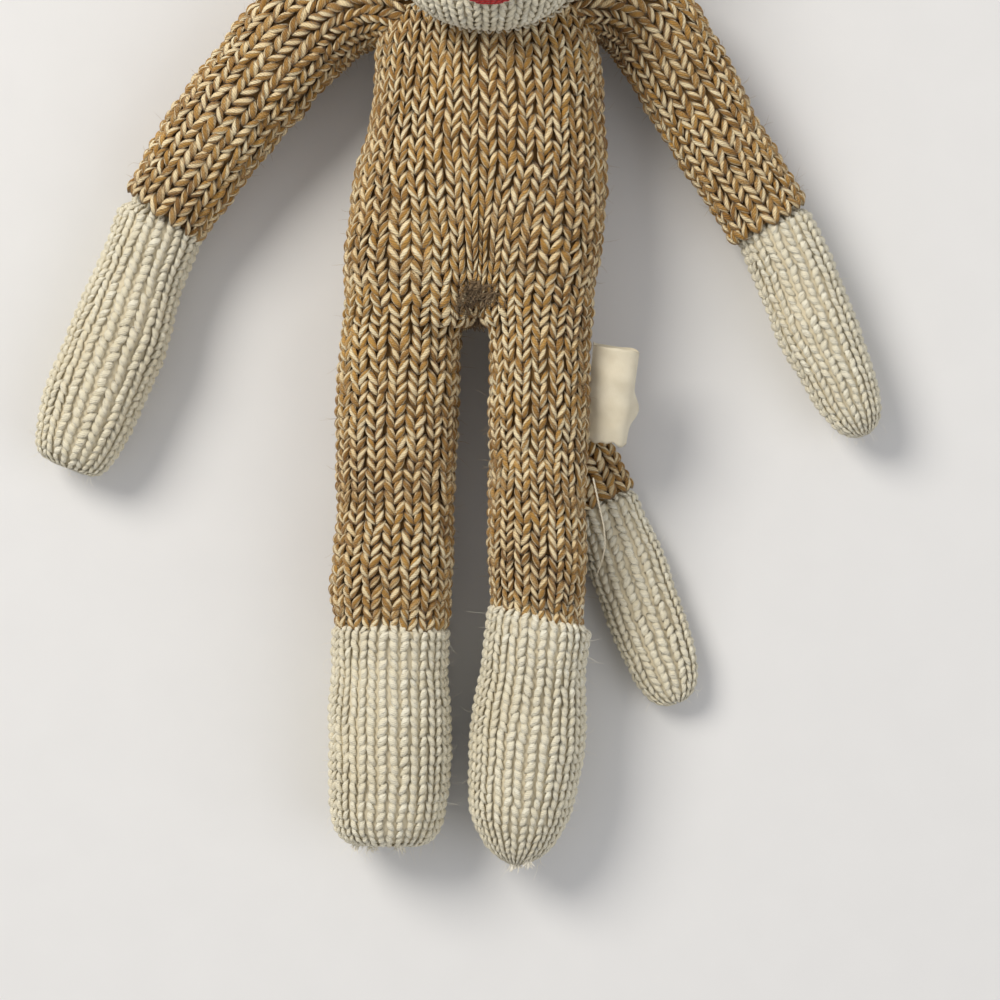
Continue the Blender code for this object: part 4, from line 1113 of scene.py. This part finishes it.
def makeEar(side, sign):
    pts, start = nodePoints("ear_" + side), jointAt("ear_flex_" + side)
    ahead, across = eastward * sign, headAhead * sign
    middle = pts.mean(0)
    reach = ((pts - start) @ ahead).max()
    tall, thick = (np.abs((pts - middle) @ way).max() for way in (across, headUp))
    rings = []
    for share in np.linspace(0, 1, 20):
        run = -0.0016 + (reach + 0.0016) * sin(share * pi / 2)
        swell = sqrt(max(0.0, 1 - (max(0.0, run - reach * 0.30) / (reach * 0.70)) ** 2))
        swell = max(swell * (0.80 + 0.20 * min(1.0, share * 2.2)), 0.05)
        cupped = 0.0007 * sin(pi * share)
        centre = start + ahead * run + headAhead * ((middle - start) @ headAhead) + headUp * ((middle - start) @ headUp + cupped)
        rings.append(oval(centre, across, headUp, (tall - 0.0005) * swell, max((thick - 0.0004) * swell**0.7, 0.0003),
                          np.linspace(0, tau, 37) - pi / 2, 2.0))
    grid = evenRows(np.array(rings), 30)[0]
    grid[:, -1] = grid[:, 0]
    marlOn("ear", "_" + side, "ear_" + side, "ear_" + side, grid, {"columns": 16, "rows": 6, "seed": 96 + sign, "width": 0.0021})


def makeEye(side, look):
    # a domed button with a fine rim, and the thread that is caught round its foot
    pts = nodePoints("eye_" + side)
    middle = pts.mean(0)
    out = np.linalg.svd(pts - middle)[2][2]
    out = out if out @ (middle - muzzleAt + headUp * 0.03) > 0 and out @ headUp > 0 else -out
    across = unit(np.cross(out, headAhead))
    other = np.cross(out, across)
    run = (pts - middle) @ out
    radius = np.linalg.norm((pts - middle) - np.outer(run, out), axis=1).max()
    sides, rim, dome = 40, 0.00085, run.max() - run.min() - 0.00085
    profile = [(0.0, 0.0), (0.80, 0.0), (0.93, 0.00018), (1.0, 0.00045), (0.985, 0.0007), (0.93, 0.00082)]
    profile += [(0.92 * cos(lean), rim + dome * sin(lean)) for lean in np.linspace(0.12, 1.0, 12) * pi / 2]

    def circle(share, rise, turns):
        return [middle + out * (run.min() + rise) + (across * cos(a) + other * sin(a)) * share * radius for a in turns]

    work = bmesh.new()
    rings = [[work.verts.new(p) for p in circle(share, rise, np.arange(sides) * tau / sides if share > 0.001 else [0])]
             for share, rise in profile]
    for a, b in zip(rings, rings[1:]):
        for i in range(sides):
            corner = [ring[k % len(ring)] for ring, k in ((a, i), (a, i + 1), (b, i + 1), (b, i))]
            work.faces.new(list(dict.fromkeys(corner)))
    mesh = bpy.data.meshes.new("button_" + side)
    closed(work, mesh, look)
    button = placed("button_" + side, mesh)
    onBody("head", "black", button)
    foot = circle(0.86, 0.0001, np.linspace(0, tau, 40))
    onBody("head", "black_thread", strandMesh("button_thread_" + side, [foot], 0.00022, blackThread))
    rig.replaces(button, "eye_" + side)


def onMuzzle(x, y, out=0.0):
    wide, tall, deep = muzzleHalves
    z = deep * sqrt(max(0.0, 1 - (x / wide) ** 2 - (y / tall) ** 2))
    normal = unit(eastward * x / wide**2 + headAhead * y / tall**2 + headUp * z / deep**2)
    return muzzleAt + eastward * x + headAhead * y + headUp * z + normal * out


def makeNostril(side):
    pts = nodePoints("nostril_" + side) - muzzleAt
    x, y = (pts @ eastward).mean(), pts @ headAhead
    paths = [[onMuzzle(x + shift, y.min() + np.ptp(y) * t, 0.00085 if 0.05 < t < 0.95 else 0.0002) for t in np.linspace(0, 1, 9)]
             for shift in (-0.00022, 0.00022)]
    nose = strandMesh("nostril_stitch_" + side, paths, 0.00026, blackThread)
    onBody("head", "black_thread", nose)
    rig.replaces(nose, "nostril_" + side)


def makeLips():
    # satin stitches side by side, from lip corner to lip corner
    pts = nodePoints("lips") - muzzleAt
    x, y = pts @ eastward, pts @ headAhead
    middle, rows, paths = (y.max() + y.min()) / 2 - 0.0031, 11, []
    for share in (2 * np.arange(rows) + 1) / rows - 1:
        reach, path = np.ptp(x) / 2 * sqrt(1 - share**2) ** 0.8, []
        for t in np.linspace(-1, 1, 15):
            lift = 0.0008 + 0.0011 * sqrt(max(0.0, 1 - t * t)) * (1 - 0.55 * share**2)
            path.append(onMuzzle(t * reach, middle + share * np.ptp(y) / 2 * 0.92, lift if abs(t) < 0.99 else 0.0004))
        paths.append(path)
    lips = strandMesh("lip_stitches", paths, 0.00036, redThread, 7)
    onBody("head", "red", lips)
    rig.replaces(lips, "lips")


def muzzleSeam():
    # whip stitches that hold the patch to the face
    wide, tall, deep = muzzleHalves
    paths = []
    for turn in np.arange(64) * tau / 64:
        path = []
        for t in np.linspace(-1, 1, 7):
            lean = math.radians(86 + 9 * t)
            grow = (1.075 - 0.055 * t * t) * sin(lean)
            path.append(muzzleAt + eastward * cos(turn + 0.03 * t) * grow * wide + headAhead * sin(turn + 0.03 * t) * grow * tall
                        + headUp * cos(lean) * deep)
        paths.append(path)
    onBody("head", "thread", strandMesh("muzzle_seam", paths, 0.00024, creamThread, 5))


neckGather()
gloss = buttonLook()
for side, sign in (("left", -1), ("right", 1)):
    makeEar(side, sign)
    makeEye(side, gloss)
    makeNostril(side)
makeLips()
muzzleSeam()
print("face ready")

labelCut = {
    "reach": 0.0092, "height": 0.0190, "thick": 0.00016, "gap": 0.0060, "turn": math.radians(-5), "fall": 0.20,
    "top": (0.0211, -0.0354, 0.0212), "flat": (0.0206, 0.0192), "columns": 48, "rows": 36, "threads": (90, 120),
    "dark": (0.62, 0.54, 0.38, 1), "light": (0.86, 0.79, 0.62, 1),
}


def makeLabel(v):
    # a folded loop of satin: out from the leg's side seam on top, round the fold, and back underneath
    down = unit((sin(v["turn"]), -cos(v["turn"]), -v["fall"]))
    out = unit((cos(v["turn"]), sin(v["turn"]) - 0.10, 0))
    rise = unit(np.cross(out, -down))
    columns, rows = v["columns"], v["rows"]

    def uneven(*place):
        return noise.noise(Vector(place))

    def spot(s, t):
        share = (1 - cos(tau * t)) / 2
        slipped = math.exp(-((s - 0.62) / 0.18) ** 2 - ((t - 0.61) / 0.075) ** 2) # the lower layer has slipped out past the fold
        reach = v["reach"] * share * (1 - 0.10 * s) + 0.0024 * slipped - 0.0006
        apart = v["gap"] / 2 * sin(tau * t) * share**0.5 * (1 - 0.25 * s)
        ragged = 0.0012 * uneven(t * 14, 3.1, 0.7) * max(0, s - 0.86) / 0.14 - 0.006 * uneven(t * 7, 8.3, 0) * max(0, 0.1 - s)
        sag = 0.0010 * share * sin(pi * s) + 0.0004 * uneven(t * 4, s * 5, 1)
        return v["top"] + out * reach + down * (v["height"] * (s - 0.02) + ragged) + rise * (apart + sag - 0.0012 * slipped)

    grid = np.array([[spot(j / rows, i / columns) for i in range(columns + 1)] for j in range(rows + 1)])
    print("label round", round(np.linalg.norm(np.diff(grid, axis=1), axis=2).sum(1).mean() * 1000, 2), "mm")
    half = normalsOf(grid, False) * v["thick"] / 2
    work = bmesh.new()
    uv = work.loops.layers.uv.new("ply")
    tops, bottoms = ([[work.verts.new(p) for p in ring] for ring in layer] for layer in (grid + half, grid - half))

    def quad(corners, where):
        face = work.faces.new(corners)
        for loop, (j, i) in zip(face.loops, where):
            loop[uv].uv = (i / columns, j / rows)

    for j in range(rows):
        for i in range(columns):
            where = ((j, i), (j, i + 1), (j + 1, i + 1), (j + 1, i))
            quad([tops[a][b] for a, b in where], where)
            quad([bottoms[a][b] for a, b in where[::-1]], where[::-1])
    edge = [(0, i) for i in range(columns)] + [(j, columns) for j in range(rows)]
    edge += [(rows, i) for i in range(columns, 0, -1)] + [(j, 0) for j in range(rows, 0, -1)]
    for a, b in zip(edge, edge[1:] + edge[:1]):
        quad([tops[a[0]][a[1]], bottoms[a[0]][a[1]], bottoms[b[0]][b[1]], tops[b[0]][b[1]]], (a, a, b, b))
    mesh = bpy.data.meshes.new("satin_label")
    closed(work, mesh, satinLook(v))
    label = placed("satin_label", mesh)
    onBody("label", "satin", label)
    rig.replaces(label, "side_label")
    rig.sheet(label, flat=v["flat"], held="folded", rests_on=["leg_right"])


makeLabel(labelCut)
print("label ready")


# Fuzz: fine fibres that stand off the yarn, and the loose ends seen in the photograph

def spread(draw, *reaches):
    return np.array([draw.uniform(low, high) for low, high in reaches])


def fuzzOn(name, grid, look, count, long, seed, bodies, bend=None, wraps=True, tipShare=0.0):
    draw = random.Random(seed)
    n = normalsOf(grid, wraps)
    rows, cols = grid.shape[:2]
    paths, thick = [], []
    for _ in range(count):
        j, i = draw.randrange(2, rows - 2), draw.randrange(cols - 1)
        if draw.random() < tipShare:
            j = rows - 2 - draw.randrange(1, 9)
        out = n[j, i]
        if out[2] < -0.35:
            continue
        lean = unit(out + spread(draw, (-1, 1), (-1, 1), (-0.6, 0.8)) * 1.1)
        bow = spread(draw, (-1, 1), (-1, 1), (-1, 1)) * 0.38
        length = long * draw.uniform(0.35, 1.0) ** 1.3
        path = [grid[j, i] + out * (0.0002 + 0.0007 * min(1, t * 3)) + (lean + bow * t) * length * t for t in np.linspace(0, 1, 7)]
        paths.append([(x, y, max(z, 0.0001)) for x, y, z in path])
        thick.append(0.00003 * draw.uniform(0.7, 1.5))
    fuzz = strandMesh(name, paths, thick, fuzzLooks[look], 3, 0.6)
    if bend:
        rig.blend(fuzz, *bodies, **bend)
    else:
        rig.ride(fuzz, *bodies)
    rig.slot(fuzz, look)


seed = 200
for side in ("left", "right"):
    for kind, count, long, look in (("foot", 150, 0.0030, "cream"), ("mitt", 70, 0.0022, "cream"), ("sleeve", 120, 0.0028, "marl")):
        seed += 1
        made = limbs[kind + "_knit_" + side]
        fuzzOn(kind + "_fuzz_" + side, made["grid"], look, count, long, seed, made["bodies"], made["bend"],
               tipShare=0.15 if look == "cream" else 0.0)
    fuzzOn("body_fuzz_" + side, halves[side], "marl", 240, 0.0030, seed + 30, ("torso", "leg_" + side), hipBend(side), False)
for kind, look in (("tail_root", "marl"), ("tail_end", "cream")):
    made = limbs[kind + "_knit"]
    seed += 1
    fuzzOn(kind + "_fuzz", made["grid"], look, 60, 0.0022, seed, made["bodies"], made["bend"])
fuzzOn("head_fuzz", headPts, "marl", 220, 0.0026, 260, ("head",))


def onPhoto(px, py, z):
    # a place seen in the photograph, at a height over the floor
    return ((px - 490) * 0.0002, (170 - py) * 0.0002, z)


places = np.array([onPhoto(*p) for p in (
    (592, 478, 0.0235), (597, 500, 0.0225), (603, 525, 0.0205), (605, 545, 0.0185), (602, 560, 0.0165), (596, 577, 0.0150))])
steps = np.linspace(0, 5, 61)
path = relaxed(np.stack([np.interp(steps, np.arange(6), line) for line in places.T], 1), 10)
onBody("leg_right", "thread", strandMesh("label_thread", [path], 0.00020, creamThread, 6, 0.3))


def toeTuft(side, spots, seed):
    # where the toe's thread was cut: a few short ends close together
    draw = random.Random(seed)
    flat = limbs["foot_knit_" + side]["grid"].reshape(-1, 3)
    flat = flat[flat[:, 2] >= 0.008]
    paths = []
    for px, py in spots:
        x, y, _ = onPhoto(px, py, 0)
        near = flat[np.argmin((flat[:, 0] - x) ** 2 + (flat[:, 1] - y) ** 2)]
        for _ in range(16):
            way = unit((draw.uniform(-0.9, 0.9), -1.0, draw.uniform(-0.5, 0.6)))
            bow = spread(draw, (-1, 1), (-0.4, 0.4), (-0.6, 0.6)) * 0.4
            long = draw.uniform(0.0011, 0.0021)
            foot = near + (draw.uniform(-0.0007, 0.0007), 0.0003, draw.uniform(-0.0006, 0.0006))
            paths.append([foot + (way + bow * t) * long * t for t in np.linspace(-0.3, 1, 7)])
    onBody("foot_" + side, "thread", strandMesh("toe_tuft_" + side, paths, 0.00015, fuzzLooks["cream"], 5, 0.4))


toeTuft("left", ((357, 848), (400, 848), (372, 849)), 301)
toeTuft("right", ((515, 866), (527, 862)), 302)

crotch = {"seed": 411, "middle": -0.0024, "high": -0.0236, "low": -0.0314, "layers": (
    ("crotch_stitches", 120, 0.00028, 0.0013, 0.0009), ("crotch_fuzz", 300, 0.00010, 0.0020, 0.0013))}


def crotchGather(v):
    # the slit's edges are overcast and drawn together where the legs part, and their cut ends have matted; the strands
    # are coloured near-black as painted shade in the crease
    draw = random.Random(v["seed"])
    flat = np.concatenate([grid.reshape(-1, 3) for grid in halves.values()])
    flat = flat[flat[:, 2] > 0.012]
    for name, count, thick, long, lift in v["layers"]:
        paths, wide = [], []
        for _ in range(count):
            down = draw.random() ** 0.7
            x = v["middle"] + draw.gauss(0, 1) * (0.0011 + 0.0019 * down)
            y = v["high"] + (v["low"] - v["high"]) * down + draw.uniform(-0.0004, 0.0004)
            near = np.argsort((flat[:, 0] - x) ** 2 + (flat[:, 1] - y) ** 2)[:4]
            at = np.array([x, y, flat[near, 2].mean() + lift * draw.uniform(0.6, 1.2)])
            turn = draw.uniform(0, tau)
            way = np.array([cos(turn), sin(turn) * 0.8, draw.uniform(-0.25, 0.25)])
            bow = np.array([-sin(turn), cos(turn), 0]) * draw.uniform(-0.7, 0.7) - upward * 0.7
            reach = long * draw.uniform(0.5, 1.0)
            paths.append([at + (way + bow * t) * reach * t for t in np.linspace(-1, 1, 8)])
            wide.append(thick * draw.uniform(0.7, 1.3))
        onBody("torso", "thread", strandMesh(name, paths, wide, matted, 5))


crotchGather(crotch)
print("fuzz ready")


# Stage: a plain pale floor, soft light from the upper left, and the photographed view

stage = {
    "floor": (0.78, 0.77, 0.75, 1), "half": 1.2, "drop": -0.0002, "distance": 0.70, "frameWidth": 0.200, "aim": (0.002, -0.066, 0.015),
    "lamps": (("key", (-0.75, 0.60, 1.0), 0.7, 15.0, (1.0, 0.965, 0.91)), ("fill", (0.9, -0.3, 0.9), 1.2, 3.6, (0.96, 0.97, 1.0))),
    "lampAim": (0, -0.05, 0), "sky": (0.95, 0.96, 1.0, 1), "skyStrength": 0.45,
}


def makeFloor(v):
    mesh = bpy.data.meshes.new("floor")
    mesh.from_pydata([(x * v["half"], y * v["half"], v["drop"]) for x, y in ((-1, -1), (1, -1), (1, 1), (-1, 1))], [], [(0, 1, 2, 3)])
    look, t, slots = newLook("floor", 0.8, 0.0)
    dark = tuple(c * 0.96 for c in v["floor"][:3]) + (1,)
    t.into(slots["Base Color"], mixed(t, grain(t, 90.0, 4.0), dark, v["floor"]))
    mesh.materials.append(look)
    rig.stage(placed("floor", mesh))


makeFloor(stage)
for name, place, size, power, colour in stage["lamps"]:
    data = bpy.data.lights.new(name, "AREA")
    data.shape, data.size, data.energy, data.color = "DISK", size, power, colour
    lamp = placed(name, data)
    lamp.location = place
    lamp.rotation_euler = (Vector(stage["lampAim"]) - Vector(place)).to_track_quat("-Z", "Y").to_euler()
world = bpy.data.worlds.new("studio")
world.use_nodes = True
sky = world.node_tree.nodes["Background"].inputs
sky["Color"].default_value, sky["Strength"].default_value = stage["sky"], stage["skyStrength"]
scene.world = world
scene.view_settings.view_transform = "Standard"

view = bpy.data.cameras.new("view")
view.sensor_width = 36.0
view.lens = view.sensor_width * (stage["distance"] - stage["aim"][2]) / stage["frameWidth"]
camera = placed("view", view)
camera.location = (*stage["aim"][:2], stage["distance"])
scene.camera = camera

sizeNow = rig.bounds()
with open("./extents.json", "w") as out:
    json.dump({"cad": [list(c) for c in cadBox], "scene": [list(c) for c in sizeNow]}, out)
print("cad box", [[round(x, 4) for x in c] for c in cadBox], "scene box", [[round(x, 4) for x in c] for c in sizeNow])
